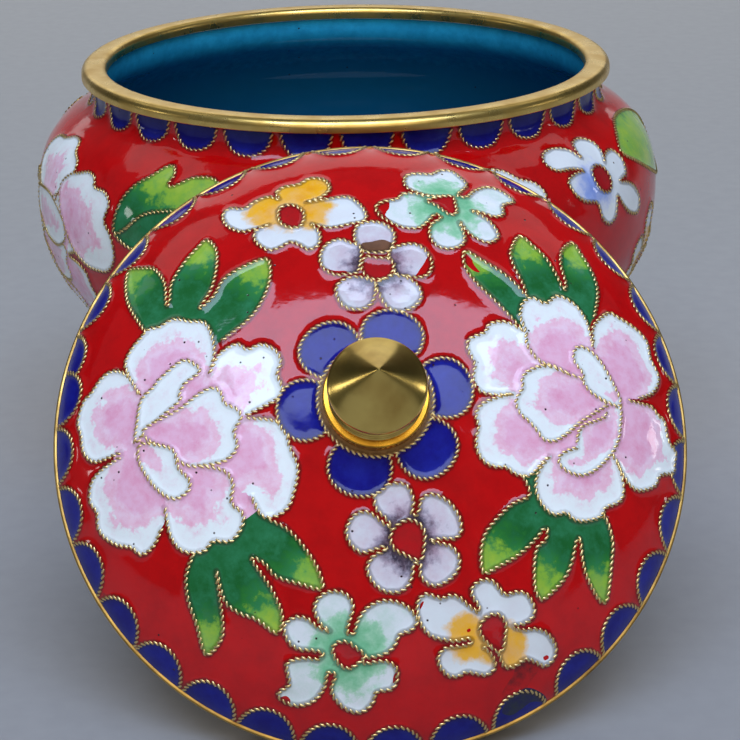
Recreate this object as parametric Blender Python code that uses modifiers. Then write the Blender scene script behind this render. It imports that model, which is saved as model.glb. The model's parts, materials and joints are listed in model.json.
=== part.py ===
"""A cloisonne tea caddy: an open enamelled jar, with its domed lid leaning against its front.

Metres, +Z up. The jar stands on its foot ring. The lid stands on its lower edge, tilted back,
and the flange that would enter the mouth rests against the jar's shoulder.
"""

import math

import bpy

# The jar's overall height and mouth, which the lid fits
JAR_HEIGHT = 0.0805
MOUTH_RADIUS = 0.050

# The gilt ring around the mouth
MOUTH_RING_WIDTH = 0.0047
MOUTH_RING_HEIGHT = 0.0022
MOUTH_RING_ROUNDING = 0.0008

# The jar's body, an enamelled copper shell with a short upright neck set in from the mouth ring
WALL = 0.002
NECK_INSET = 0.0018
NECK_HEIGHT = 0.0037
NECK_FILLET = 0.0012
SHOULDER_SLOPE = math.radians(32.7)
SHOULDER_DROP = 0.0178
BELLY_SWELL = 0.0115
BASE_RADIUS = 0.034
BASE_FLARE = math.radians(25)

# How full each curve of the jar is: its handles as shares of the straight line between its ends
SHOULDER_FULLNESS = (0.26, 0.54)
LOWER_FULLNESS = (0.32, 0.71)

# The gilt ring under the jar, standing a little proud of the base
FOOT_RING_PROUD = 0.0005
FOOT_RING_WIDTH = 0.0028
FOOT_RING_HEIGHT = 0.004
FOOT_RING_CHAMFER = 0.0006

# The lid's dome, an enamelled copper shell; its height is taken from the rim's underside
LID_HEIGHT = 0.021
DOME_SQUARENESS = 1.6

# The gilt rim of the lid: a thin plate under the dome, and the flange that enters the mouth
RIM_PLATE_HEIGHT = 0.0008
FLANGE_CLEARANCE = 0.0007
FLANGE_DEPTH = 0.0065
FLANGE_WALL = 0.0014

# The turned finial: a flat collar on the dome, and a waisted knob with a conical top
COLLAR_HEIGHT = 0.0019
COLLAR_LEDGE = 0.0006
KNOB_RADIUS = 0.0074
KNOB_WAIST_DEPTH = 0.0009
KNOB_WAIST_HEIGHT = 0.0021
KNOB_RIM_HEIGHT = 0.0046
KNOB_RIM_ROUNDING = 0.0007
KNOB_CONE_HEIGHT = 0.0078

# How the lid leans: its rim's slope to the table, and the level gap left to the jar
LID_LEAN = math.radians(51)
LEAN_GAP = 0.0004

# The gap between pieces that touch, and the number of flats around the turned pieces
SEAT_GAP = 0.0003
SIDES = 60
FINIAL_SIDES = 48

# Places that several pieces share
NECK_RADIUS = MOUTH_RADIUS - NECK_INSET
MOUTH_BORE_RADIUS = MOUTH_RADIUS - MOUTH_RING_WIDTH
BELLY_RADIUS = NECK_RADIUS + BELLY_SWELL
NECK_TOP = JAR_HEIGHT - MOUTH_RING_HEIGHT - SEAT_GAP
BASE_HEIGHT = FOOT_RING_HEIGHT + SEAT_GAP
DOME_FOOT = RIM_PLATE_HEIGHT + SEAT_GAP


def curve(start, start_angle, end, end_angle, fullness, steps):
    """Points of a cubic curve in (radius, height), each with its unit direction.

    An angle is the direction of travel, measured down from level and outward.
    """
    span = math.dist(start, end)
    away = (math.cos(start_angle), -math.sin(start_angle))
    into = (math.cos(end_angle), -math.sin(end_angle))
    handle_1 = [start[i] + fullness[0] * span * away[i] for i in range(2)]
    handle_2 = [end[i] - fullness[1] * span * into[i] for i in range(2)]
    found = []
    for step in range(steps + 1):
        t = step / steps
        s = 1 - t
        place = [s**3 * start[i] + 3 * s * s * t * handle_1[i] + 3 * s * t * t * handle_2[i]
                 + t**3 * end[i] for i in range(2)]
        run = [s * s * (handle_1[i] - start[i]) + 2 * s * t * (handle_2[i] - handle_1[i])
               + t * t * (end[i] - handle_2[i]) for i in range(2)]
        length = math.hypot(*run)
        found.append((place, (run[0] / length, run[1] / length)))
    return found


def jar_wall(inset, fillet_steps, shoulder_steps, lower_steps):
    """The jar's wall from the neck's top down to the base, moved inward by inset."""
    down = math.pi / 2
    neck_foot = NECK_TOP - NECK_HEIGHT
    fillet_start = (NECK_RADIUS, neck_foot + NECK_FILLET)
    shoulder_start = (NECK_RADIUS + NECK_FILLET * math.cos(SHOULDER_SLOPE),
                      neck_foot - NECK_FILLET * math.sin(SHOULDER_SLOPE))
    belly = (BELLY_RADIUS, neck_foot - SHOULDER_DROP)
    wall = [((NECK_RADIUS, NECK_TOP), (0, -1))]
    wall += curve(fillet_start, down, shoulder_start, SHOULDER_SLOPE, (0.4, 0.4), fillet_steps)
    wall += curve(shoulder_start, SHOULDER_SLOPE, belly, down,
                  SHOULDER_FULLNESS, shoulder_steps)[1:]
    wall += curve(belly, down, (BASE_RADIUS, BASE_HEIGHT), down + BASE_FLARE,
                  LOWER_FULLNESS, lower_steps)[1:]
    return [(place[0] + inset * run[1], place[1] - inset * run[0]) for place, run in wall]


def jar_outline():
    """The jar's section, from the middle of its floor, over the neck and back under the base."""
    floor = BASE_HEIGHT + WALL
    inside = []
    for r, z in jar_wall(WALL, 1, 4, 8):
        if z <= floor + WALL:
            last_r, last_z = inside[-1]
            turn_r = last_r + (r - last_r) * (last_z - floor - WALL) / (last_z - z)
            break
        inside.append((r, z))
    turn = [(turn_r - WALL, floor), (turn_r, floor + WALL)]
    return ([(0, floor)] + turn + inside[::-1] + jar_wall(0, 2, 6, 8) + [(0, BASE_HEIGHT)])


def ring_outline(inner, outer, bottom, top, rounding, corner_steps):
    """A ring's section with rounded upper corners, starting at its inner lower corner."""
    corners = []
    for side, first_angle in ((inner + rounding, math.pi), (outer - rounding, math.pi / 2)):
        for step in range(corner_steps + 1):
            angle = first_angle - step / corner_steps * math.pi / 2
            corners.append((side + rounding * math.cos(angle),
                            top - rounding + rounding * math.sin(angle)))
    return [(inner, bottom)] + corners + [(outer, bottom)]


def mouth_ring_outline():
    """The mouth ring's section, rounded above and flat on top and below."""
    return ring_outline(MOUTH_BORE_RADIUS, MOUTH_RADIUS, JAR_HEIGHT - MOUTH_RING_HEIGHT,
                        JAR_HEIGHT, MOUTH_RING_ROUNDING, 2)


def foot_ring_outline():
    """The foot ring's section, upright, with its lower corners taken off."""
    outer = BASE_RADIUS + FOOT_RING_PROUD
    inner = outer - FOOT_RING_WIDTH
    cut = FOOT_RING_CHAMFER
    return [(inner, FOOT_RING_HEIGHT), (outer, FOOT_RING_HEIGHT),
            (outer, cut), (outer - cut, 0), (inner + cut, 0), (inner, cut)]


def dome_height(radius, inset=0):
    """The dome's height at a radius, for its outside or for a surface inset into its wall."""
    share = min(radius / (MOUTH_RADIUS - inset), 1)
    return (LID_HEIGHT - inset) * (1 - share**2) ** (1 / DOME_SQUARENESS)


def dome_points(inset, steps):
    """Points from the dome's top down to its edge, closer together where it turns down."""
    share_left = (DOME_FOOT / (LID_HEIGHT - inset)) ** DOME_SQUARENESS
    edge = (MOUTH_RADIUS - inset) * math.sqrt(1 - share_left)
    radii = [edge * math.sin(step / steps * math.pi / 2) for step in range(steps)]
    return [(radius, dome_height(radius, inset)) for radius in radii] + [(edge, DOME_FOOT)]


def dome_outline():
    """The dome's section, from the middle of its ceiling, round its edge and up to the top."""
    return dome_points(0, 10) + dome_points(WALL, 7)[::-1]


def rim_outline():
    """The lid rim's section: the thin plate and, below it, the flange."""
    outer = MOUTH_BORE_RADIUS - FLANGE_CLEARANCE
    inner = outer - FLANGE_WALL
    lead = FLANGE_WALL / 3
    return [(inner, RIM_PLATE_HEIGHT), (MOUTH_RADIUS, RIM_PLATE_HEIGHT), (MOUTH_RADIUS, 0),
            (outer, 0), (outer, lead - FLANGE_DEPTH), (outer - lead, -FLANGE_DEPTH),
            (inner, -FLANGE_DEPTH)]


def collar_outline():
    """The collar's section, hollowed below to sit on the dome."""
    steps = 3
    collar = KNOB_RADIUS + COLLAR_LEDGE
    top = LID_HEIGHT + COLLAR_HEIGHT
    seat = []
    for step in range(steps + 1):
        radius = collar * (1 - step / steps)
        seat.append((radius, dome_height(radius) + SEAT_GAP))
    return [(0, top), (collar, top)] + seat


def knob_outline():
    """The knob's section: a cone, its rounded rim, the waist and the flat foot."""
    foot = LID_HEIGHT + COLLAR_HEIGHT + SEAT_GAP
    rim = foot + KNOB_RIM_HEIGHT
    tip = rim + KNOB_CONE_HEIGHT
    rounding = KNOB_RIM_ROUNDING
    slope = math.atan2(KNOB_CONE_HEIGHT, KNOB_RADIUS)
    edge = []
    for step in range(4):
        angle = slope - step / 3 * (slope + math.pi / 4)
        edge.append((KNOB_RADIUS - rounding + rounding * math.cos(angle),
                     rim + rounding * math.sin(angle)))
    waist = (KNOB_RADIUS - KNOB_WAIST_DEPTH, foot + KNOB_WAIST_HEIGHT)
    base = KNOB_RADIUS - rounding / 2
    return [(0, tip)] + edge + [waist, (base, foot + rounding), (base, foot), (0, foot)]


def level_slack(points, chain):
    """The least level distance, along Y, from the points to the chain behind them."""
    slack = math.inf
    for y, z in points:
        for (y1, z1), (y2, z2) in zip(chain, chain[1:]):
            if min(z1, z2) <= z <= max(z1, z2) and z1 != z2:
                slack = min(slack, y1 + (y2 - y1) * (z - z1) / (z2 - z1) - y)
    return slack


def lean_place(u, w):
    """Where a point of the lid's section, u up its slope and w out of its face, lies in (y, z)."""
    return (u * math.cos(LID_LEAN) - w * math.sin(LID_LEAN),
            u * math.sin(LID_LEAN) + w * math.cos(LID_LEAN))


def place_on_table():
    """The lid's centre and the jar's axis in (y, z), with the origin under the whole caddy."""
    section = rim_outline() + dome_points(0, 10) + knob_outline()
    whole = [lean_place(side * u, w) for u, w in section for side in (1, -1)]
    lid_z = -min(z for y, z in whole)
    lid_front = -min(y for y, z in whole)
    start = -(BELLY_RADIUS + 3 * MOUTH_RADIUS)
    rim_chain = []
    for u, w in rim_outline():
        y, z = lean_place(u, w)
        rim_chain.append((start + y, lid_z + z))
    jar_chain = [(-r, z) for r, z in mouth_ring_outline()[::-1] + jar_wall(0, 2, 6, 8)]
    flipped_rim = [(-y, z) for y, z in rim_chain]
    flipped_jar = [(-y, z) for y, z in jar_chain]
    slack = min(level_slack(rim_chain, jar_chain), level_slack(flipped_jar, flipped_rim))
    lid_y = start + slack - LEAN_GAP
    middle = (lid_y - lid_front + BELLY_RADIUS) / 2
    return (lid_y - middle, lid_z), -middle


def material(name, colour, roughness, metallic, coat):
    """A Principled material; the colour is linear."""
    made = bpy.data.materials.new(name)
    made.use_nodes = True
    shader = made.node_tree.nodes["Principled BSDF"]
    shader.inputs["Base Color"].default_value = (*colour, 1)
    shader.inputs["Roughness"].default_value = roughness
    shader.inputs["Metallic"].default_value = metallic
    shader.inputs["Coat Weight"].default_value = coat
    made.diffuse_color = (*colour, 1)
    return made


def holder(name, collection, place, tilt):
    """An empty that places what it carries."""
    empty = bpy.data.objects.new(name, None)
    empty.location = place
    empty.rotation_euler = (tilt, 0, 0)
    empty.empty_display_size = 0.02
    collection.objects.link(empty)
    return empty


def turned(name, outline, sides, finish, parent, collection):
    """A turned piece: its section in (radius, height), spun about Z by a Screw modifier.

    A section that starts on the axis is open there; any other is a ring's and is closed.
    """
    points = [(radius, 0, height) for radius, height in outline]
    edges = [(i, i + 1) for i in range(len(points) - 1)]
    if outline[0][0] > 0:
        edges.append((len(points) - 1, 0))
    mesh = bpy.data.meshes.new(name)
    mesh.from_pydata(points, edges, [])
    piece = bpy.data.objects.new(name, mesh)
    screw = piece.modifiers.new("turned", "SCREW")
    screw.axis = "Z"
    screw.steps = sides
    screw.render_steps = sides
    screw.use_merge_vertices = True
    screw.merge_threshold = 0.00002
    screw.use_smooth_shade = True
    mesh.materials.append(finish)
    piece.parent = parent
    collection.objects.link(piece)
    return piece


def build():
    for old in list(bpy.data.objects):
        bpy.data.objects.remove(old)
    caddy = bpy.data.collections.new("cloisonne_tea_caddy")
    bpy.context.scene.collection.children.link(caddy)

    enamel = material("red_enamel", (0.50, 0.008, 0.006), 0.12, 0, 1)
    gilt = material("gilt_brass", (0.66, 0.49, 0.19), 0.22, 1, 0)

    (lid_y, lid_z), jar_y = place_on_table()
    jar = holder("jar", caddy, (0, jar_y, 0), 0)
    lid = holder("lid", caddy, (0, lid_y, lid_z), LID_LEAN)

    turned("jar_body", jar_outline(), SIDES, enamel, jar, caddy)
    turned("jar_mouth_ring", mouth_ring_outline(), SIDES, gilt, jar, caddy)
    turned("jar_foot_ring", foot_ring_outline(), SIDES, gilt, jar, caddy)

    turned("lid_dome", dome_outline(), SIDES, enamel, lid, caddy)
    turned("lid_rim", rim_outline(), SIDES, gilt, lid, caddy)
    turned("finial_collar", collar_outline(), FINIAL_SIDES, gilt, lid, caddy)
    turned("finial_knob", knob_outline(), FINIAL_SIDES, gilt, lid, caddy)


build()
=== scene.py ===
# %% [markdown]
# # A cloisonne tea caddy
#
# The caddy is an enamelled copper jar with a domed lid that leans against it. Gold wires, each
# twisted from two strands, are soldered to the copper as the outlines of flowers, and glass
# enamel is melted into the cells between them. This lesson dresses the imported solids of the
# caddy: the solids say where every piece is, and each step below makes one piece or one finish.
#
# The frame is loaded first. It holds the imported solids, and nothing here moves them.

# %% Load the frame
import json
import math

import bmesh
import bpy
import numpy as np
from mathutils import Matrix, Vector, kdtree, noise
from mathutils.geometry import delaunay_2d_cdt

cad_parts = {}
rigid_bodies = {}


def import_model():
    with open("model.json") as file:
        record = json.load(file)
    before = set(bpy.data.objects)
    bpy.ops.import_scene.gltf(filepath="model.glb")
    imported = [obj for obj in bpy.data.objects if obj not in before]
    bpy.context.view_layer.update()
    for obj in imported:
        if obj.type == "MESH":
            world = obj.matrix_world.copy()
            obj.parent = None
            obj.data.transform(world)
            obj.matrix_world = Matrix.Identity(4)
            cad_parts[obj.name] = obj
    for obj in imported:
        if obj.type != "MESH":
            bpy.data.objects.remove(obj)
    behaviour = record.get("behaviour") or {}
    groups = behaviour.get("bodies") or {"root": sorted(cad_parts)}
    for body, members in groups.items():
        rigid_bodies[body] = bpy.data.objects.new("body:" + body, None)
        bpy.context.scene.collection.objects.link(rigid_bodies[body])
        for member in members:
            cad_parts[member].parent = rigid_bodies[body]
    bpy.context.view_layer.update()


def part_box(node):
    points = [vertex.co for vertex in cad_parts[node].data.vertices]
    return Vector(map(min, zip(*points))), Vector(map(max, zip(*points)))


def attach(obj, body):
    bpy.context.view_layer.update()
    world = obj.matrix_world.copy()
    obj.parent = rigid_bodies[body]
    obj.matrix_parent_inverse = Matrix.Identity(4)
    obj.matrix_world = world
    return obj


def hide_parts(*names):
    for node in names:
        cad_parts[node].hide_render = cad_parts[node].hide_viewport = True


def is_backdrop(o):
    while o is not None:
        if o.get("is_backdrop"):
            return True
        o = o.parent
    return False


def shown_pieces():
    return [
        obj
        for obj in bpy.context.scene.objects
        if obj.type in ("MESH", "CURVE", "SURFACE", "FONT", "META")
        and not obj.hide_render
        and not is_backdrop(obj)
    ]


for leftover in list(bpy.data.objects):
    bpy.data.objects.remove(leftover)
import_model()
MM = 0.001

# %% [markdown]
# ## Where the jar and the lid are
#
# Both pieces were beaten and turned round an axis, so each is easiest to make in its own frame,
# with Z along its axis, and then put in place by a matrix. The jar stands upright. The lid's rim
# leans 51 degrees back against the jar, face out.

# %% Place the jar and the lid
ring_low, ring_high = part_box("jar_mouth_ring")
JAR_PLACE = Matrix.Translation((0, (ring_low.y + ring_high.y) / 2, 0))
LID_LEAN = math.radians(51)
LID_RIM_CENTRE = (0, -0.05704, 0.03886)
LID_PLACE = Matrix.Translation(LID_RIM_CENTRE) @ Matrix.Rotation(LID_LEAN, 4, "X")
print("jar axis at y =", round(JAR_PLACE.translation.y / MM, 2), "mm")

# %% [markdown]
# ## The two turned surfaces, unrolled
#
# The enameller bends each wire flat on the bench and then presses it onto the curved copper. The
# same way works here: every outline is drawn flat, in millimetres, and a turned surface carries
# it to its place. On the lid, a flat point keeps its direction from the middle and its distance
# along the dome. On the jar, x runs round the belly and y runs up the wall from the neck.

# %% A turned surface that carries flat drawings
class TurnedSurface:
    """The outside of a turned shell, given as radius and height along its profile, in mm."""

    def __init__(self, radii, heights, belt=0.0):
        self.radii, self.heights = np.array(radii, float), np.array(heights, float)
        steps = np.hypot(np.diff(self.radii), np.diff(self.heights))
        self.arc = np.concatenate([[0.0], np.cumsum(steps)])
        self.slope_r = np.gradient(self.radii, self.arc)
        self.slope_z = np.gradient(self.heights, self.arc)
        self.belt = belt

    def split(self, flat):
        """Direction round the axis and distance along the profile of flat points."""
        if self.belt:
            angle = flat[:, 0] / self.belt - math.pi / 2
            return np.cos(angle), np.sin(angle), -flat[:, 1]
        along = np.hypot(flat[:, 0], flat[:, 1])
        safe = np.maximum(along, 1e-9)
        return flat[:, 0] / safe, flat[:, 1] / safe, along

    def carry(self, flat, lift=0.0):
        """Flat points in mm to points in the shell's own frame in metres, lifted by mm."""
        x, y, along = self.split(np.asarray(flat, float))
        out_r, out_z = self.outward(along)
        r = np.interp(along, self.arc, self.radii) + out_r * lift
        z = np.interp(along, self.arc, self.heights) + out_z * lift
        return np.stack([x * r, y * r, z], axis=1) * MM

    def outward(self, along):
        """The direction straight out of the surface, away from the axis and along it."""
        slope_r = np.interp(along, self.arc, self.slope_r)
        slope_z = np.interp(along, self.arc, self.slope_z)
        size = np.hypot(slope_r, slope_z)
        return -slope_z / size, slope_r / size

    def normals(self, flat):
        """The direction straight out of the surface at flat points."""
        x, y, along = self.split(np.asarray(flat, float))
        out_r, out_z = self.outward(along)
        return np.stack([x * out_r, y * out_r, out_z], axis=1)


SPLINE_PARTS = 16


def curve_through(points, closed, step):
    """An evenly stepped smooth curve through points: a Catmull-Rom spline."""
    p = np.array(points, float)
    if closed:
        p = np.concatenate([p[-1:], p, p[:2]])
    else:
        p = np.concatenate([2 * p[:1] - p[1:2], p, 2 * p[-1:] - p[-2:-1]])
    t = np.linspace(0, 1, SPLINE_PARTS, endpoint=False)[:, None]
    parts = []
    for a, b, c, d in zip(p[:-3], p[1:-2], p[2:-1], p[3:]):
        parts.append(0.5 * (2 * b + (c - a) * t + (2 * a - 5 * b + 4 * c - d) * t ** 2
                            + (3 * b - a - 3 * c + d) * t ** 3))
    line = np.concatenate(parts + [p[-2:-1]])
    return even_steps(line, step)


def even_steps(line, step):
    """The same line with points at even distances along it."""
    arc = np.concatenate([[0.0], np.cumsum(np.linalg.norm(np.diff(line, axis=0), axis=1))])
    count = max(4, int(round(arc[-1] / step)))
    at = np.linspace(0, arc[-1], count + 1)
    return np.stack([np.interp(at, arc, line[:, k]) for k in range(line.shape[1])], axis=1)


# %% [markdown]
# ## The profile of the dome
#
# One formula gives the dome at every radius: its height falls towards the rim as a power of one
# less the square of the radius. A power of a half would make half an ellipse. This one is a
# little higher, so the dome is less full beside its rim, as the real one is.

# %% The dome of the lid
MOUTH_RADIUS = 50.0
LID_HEIGHT = 21.0
DOME_SQUARENESS = 1.6
DOME_FOOT = 1.1


def dome_height(radius):
    return LID_HEIGHT * (1 - (radius / MOUTH_RADIUS) ** 2).clip(0) ** (1 / DOME_SQUARENESS)


dome_radii = MOUTH_RADIUS * np.sqrt(np.linspace(0, 1, 4001))
lid_top = TurnedSurface(dome_radii, dome_height(dome_radii))
LID_EDGE = float(np.interp(-DOME_FOOT, -lid_top.heights, lid_top.arc))
print("lid: distance from the middle to the edge along the dome", round(LID_EDGE, 2), "mm")

# %% [markdown]
# ## The profile of the wall
#
# The jar has a short upright neck, a sloping shoulder, a round belly and a long taper to the
# base. No single formula has all four, so the wall is a smooth curve through twenty points.

# %% The wall of the jar
JAR_WALL = [
    (48.2, 78.0), (48.2, 76.9), (48.2, 75.9), (48.35, 74.85), (48.84, 73.93), (49.6, 73.25),
    (51.45, 72.05), (53.88, 70.36), (56.1, 68.09), (57.96, 65.14), (59.23, 61.34),
    (59.7, 56.5), (59.31, 50.45), (58.14, 45.75), (56.17, 41.67), (53.4, 37.46),
    (49.8, 32.36), (45.38, 25.63), (40.12, 16.53), (34.0, 4.3),
]
JAR_BELT = 57.0
jar_line = curve_through(JAR_WALL, False, 0.05)
jar_side = TurnedSurface(jar_line[:, 0], jar_line[:, 1], belt=JAR_BELT)
JAR_DOWN = float(jar_side.arc[-1])
JAR_HALF = math.pi * JAR_BELT
print("jar: wall is", round(JAR_DOWN, 1), "mm from neck to base, belt", round(2 * JAR_HALF), "mm")

# %% [markdown]
# ## Drawing the flowers
#
# A cell is one patch of enamel with a wire round it. Peony petals are white at their frilled
# edge and pink towards the heart of the flower, so a petal cell also holds its heart, how far
# from it the white begins, and how wide the white band is. A leaf knows its tips, which are
# yellow-green. Cells are listed from the back to the front: a later one covers what is under
# it, wire and all, as the petals of a real flower do. A cell without a wire is enamel alone. It
# fills the middle of a flower under its petals, or it is a patch where the red slipped over an
# edge or where the fire marked the glass.

# %% A cell of enamel
class Cell:
    """One patch of enamel: its outline, its wire, and what its colours are measured from."""

    def __init__(self, group, finish, outline, wire=None, marks=((0, 0),), hold=0.0, band=3.0):
        self.group, self.finish = group, finish
        self.outline = np.array(outline, float)
        self.wire = [np.array(line, float) for line in (wire if wire is not None else [])]
        self.marks = np.array(marks, float)
        self.hold, self.band = hold, band

    def moved(self, centre, to, size=1.0, turn=0.0, mirror=False, group=None):
        """The same cell somewhere else: turned about centre, scaled, and put at to."""
        c, s = math.cos(turn) * size, math.sin(turn) * size
        spin = np.array([[c, s], [-s, c]])
        flip = np.array([-1.0 if mirror else 1.0, 1.0])

        def at(points):
            return ((points - centre) * flip) @ spin + to

        made = Cell(group or self.group, self.finish, at(self.outline), None, at(self.marks))
        made.wire = [at(line) for line in self.wire]
        made.hold, made.band = self.hold * size, self.band * size
        return made


FINE = 0.25


def closed_cell(group, finish, points, **more):
    line = curve_through(points, True, FINE)
    return Cell(group, finish, line[:-1], [line], **more)


def open_cell(group, finish, points, inner=(), **more):
    """A cell whose wire shows along points only. The rest of it lies under other cells."""
    line = curve_through(points, False, FINE)
    outline = np.concatenate([line, np.array(inner, float).reshape(-1, 2)])
    return Cell(group, finish, outline, [line], **more)


def patch(group, finish, points):
    """A patch of enamel without a wire, as where the red has run over its edge."""
    return Cell(group, finish, curve_through(points, True, FINE)[:-1])


def joined(*parts):
    return [p for part in parts for p in part]


# %% [markdown]
# ## The two peonies
#
# Each big flower starts with its leaves, then a cell without a wire that fills its middle, then
# the outer petals, and last the small closed petals of its heart. The wire of an outer petal
# stops where the petal slips under its neighbours, so only the part that shows is drawn, and a
# few inner points close the cell behind it.

# %% The peony on the left of the lid
LEFT_HEART = (-31.0, -2.0)
left_peony = [
    open_cell("left_peony", "leaf", joined(
        [(-35.7, 14.8), (-39.0, 20.4), (-40.4, 24.6), (-40.6, 29.3), (-38.0, 28.8),
         (-35.1, 27.4), (-33.0, 23.8), (-32.4, 19.2)],
        [(-31.9, 20.4), (-31.7, 23.5), (-29.8, 27.1), (-27.7, 29.7), (-26.1, 31.1),
         (-24.4, 28.9), (-24.1, 25.2), (-24.9, 21.0), (-26.8, 17.7)],
        [(-24.5, 19.5), (-22.3, 22.9), (-16.7, 25.3), (-15.4, 23.7), (-15.9, 19.5),
         (-18.4, 15.0), (-23.2, 11.3)]), inner=[(-28, 8)],
        marks=[(-40.6, 29.3), (-26.1, 31.1), (-16.2, 25.3)]),
    open_cell("left_peony", "leaf", joined(
        [(-28.6, -21.5), (-30.0, -24.7), (-30.0, -28.5), (-29.0, -32.3), (-28.0, -37.1),
         (-25.1, -34.6), (-24.7, -30.5), (-25.1, -24.4)],
        [(-24.1, -28.9), (-21.9, -30.9), (-19.3, -32.0), (-16.3, -34.2), (-15.3, -31.7),
         (-16.6, -27.8), (-19.5, -22.9)],
        [(-17.6, -23.7), (-15.9, -25.7), (-12.3, -27.0), (-9.0, -27.8), (-10.2, -23.7),
         (-13.5, -19.2), (-16.8, -17.1)]), inner=[(-20, -14), (-26, -16)],
        marks=[(-28.0, -37.1), (-16.3, -34.2), (-9.0, -27.8)]),
    Cell("left_peony", "petal", [(-36, 3), (-33, 6), (-24, 8), (-19, -2), (-16, -9), (-17, -15),
                                 (-21, -17.5), (-33, -14), (-41, -8), (-41.5, -5), (-38, -2)]),
    open_cell("left_peony", "petal",
              [(-36.6, 4.6), (-37.7, 5.8), (-38.8, 8.1), (-39.4, 10.4), (-38.4, 12.6),
               (-36.8, 14.3), (-35.4, 15.6), (-33.6, 15.6), (-31.1, 16.5), (-28.4, 15.6),
               (-25.6, 14.6), (-24.3, 10.1), (-25.1, 6.0)], inner=[(-30, 0), (-35, 3)],
              marks=[LEFT_HEART], hold=14.0, band=3.4),
    open_cell("left_peony", "petal",
              [(-25.1, 6.0), (-23.5, 9.1), (-20.8, 10.5), (-19.1, 9.4), (-16.9, 10.0),
               (-14.7, 8.7), (-14.0, 6.8), (-14.6, 4.9), (-13.9, 2.8), (-14.1, 1.5),
               (-15.5, 0.5), (-17.8, -0.5), (-19.6, -1.3)], inner=[(-26, -1), (-28, 4)],
              marks=[LEFT_HEART], hold=13.5, band=3.4),
    open_cell("left_peony", "petal",
              [(-19.6, -1.6), (-15.6, -2.3), (-13.6, -3.7), (-13.1, -6.4), (-12.0, -9.5),
               (-12.3, -12.1), (-13.5, -15.4), (-15.5, -16.8), (-17.6, -16.6),
               (-19.1, -13.8)], inner=[(-24, -10), (-24, -4)],
              marks=[LEFT_HEART], hold=16.0, band=2.8),
    open_cell("left_peony", "petal",
              [(-40.2, -4.5), (-45.0, -5.2), (-47.5, -3.2), (-48.1, 0.0), (-48.8, 2.4),
               (-47.6, 5.6), (-46.1, 6.6), (-43.5, 9.1), (-41.0, 9.4), (-38.7, 7.8),
               (-36.9, 4.6)], inner=[(-34, 2), (-34, -3)],
              marks=[LEFT_HEART], hold=13.5, band=3.2),
    open_cell("left_peony", "petal",
              [(-33.6, -17.2), (-35.1, -19.7), (-37.3, -20.9), (-39.2, -19.6),
               (-41.4, -19.1), (-43.9, -17.7), (-45.3, -15.8), (-45.3, -13.4),
               (-46.6, -11.3), (-46.0, -8.4), (-43.9, -6.7), (-40.2, -5.2)],
              inner=[(-34, -3), (-30, -10)], marks=[LEFT_HEART], hold=15.0, band=3.2),
    open_cell("left_peony", "petal",
              [(-29.1, -7.9), (-23.6, -9.2), (-21.9, -11.4), (-22.2, -14.3), (-20.6, -16.0),
               (-20.7, -17.9), (-22.5, -20.0), (-25.3, -19.9), (-26.8, -21.2),
               (-29.2, -21.3), (-31.0, -20.4), (-32.3, -18.1), (-32.9, -14.1)],
              inner=[(-32, -9)], marks=[LEFT_HEART], hold=15.5, band=3.6),
    closed_cell("left_peony", "petal",
                [(-37.5, -3.4), (-37.2, 0.0), (-36.4, 3.5), (-34.3, 5.3), (-33.3, 6.4),
                 (-29.6, 8.9), (-27.5, 8.0), (-26.7, 6.6), (-29.1, 5.0), (-30.0, 3.3),
                 (-30.1, 2.2), (-35.2, -1.3)], marks=[(-37.0, -5.0)], hold=6.0, band=3.6),
    closed_cell("left_peony", "petal",
                [(-36.2, -1.8), (-30.2, 0.9), (-26.7, 3.1), (-24.5, 3.7), (-23.3, 2.7),
                 (-22.8, 1.1), (-20.8, -0.2), (-20.3, -1.6), (-21.4, -3.5), (-21.0, -5.7),
                 (-21.8, -7.1), (-23.8, -8.1), (-28.7, -8.1), (-32.0, -5.5)],
                marks=[(-34.0, -5.0)], hold=10.5, band=3.6),
    closed_cell("left_peony", "petal",
                [(-36.6, -3.7), (-33.4, -4.3), (-31.1, -5.5), (-30.4, -8.2), (-28.7, -10.3),
                 (-28.9, -11.9), (-30.9, -12.9), (-33.0, -12.1), (-35.2, -9.7),
                 (-37.0, -6.3)], marks=[(-37.5, -5.0)], hold=5.5, band=3.0),
]

# %% [markdown]
# The flower on the right is made the same way. Every wire was bent anew by hand, so it is drawn
# anew and isn't a mirror image of the other. Red has run over the tip of one of its leaves.

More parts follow.
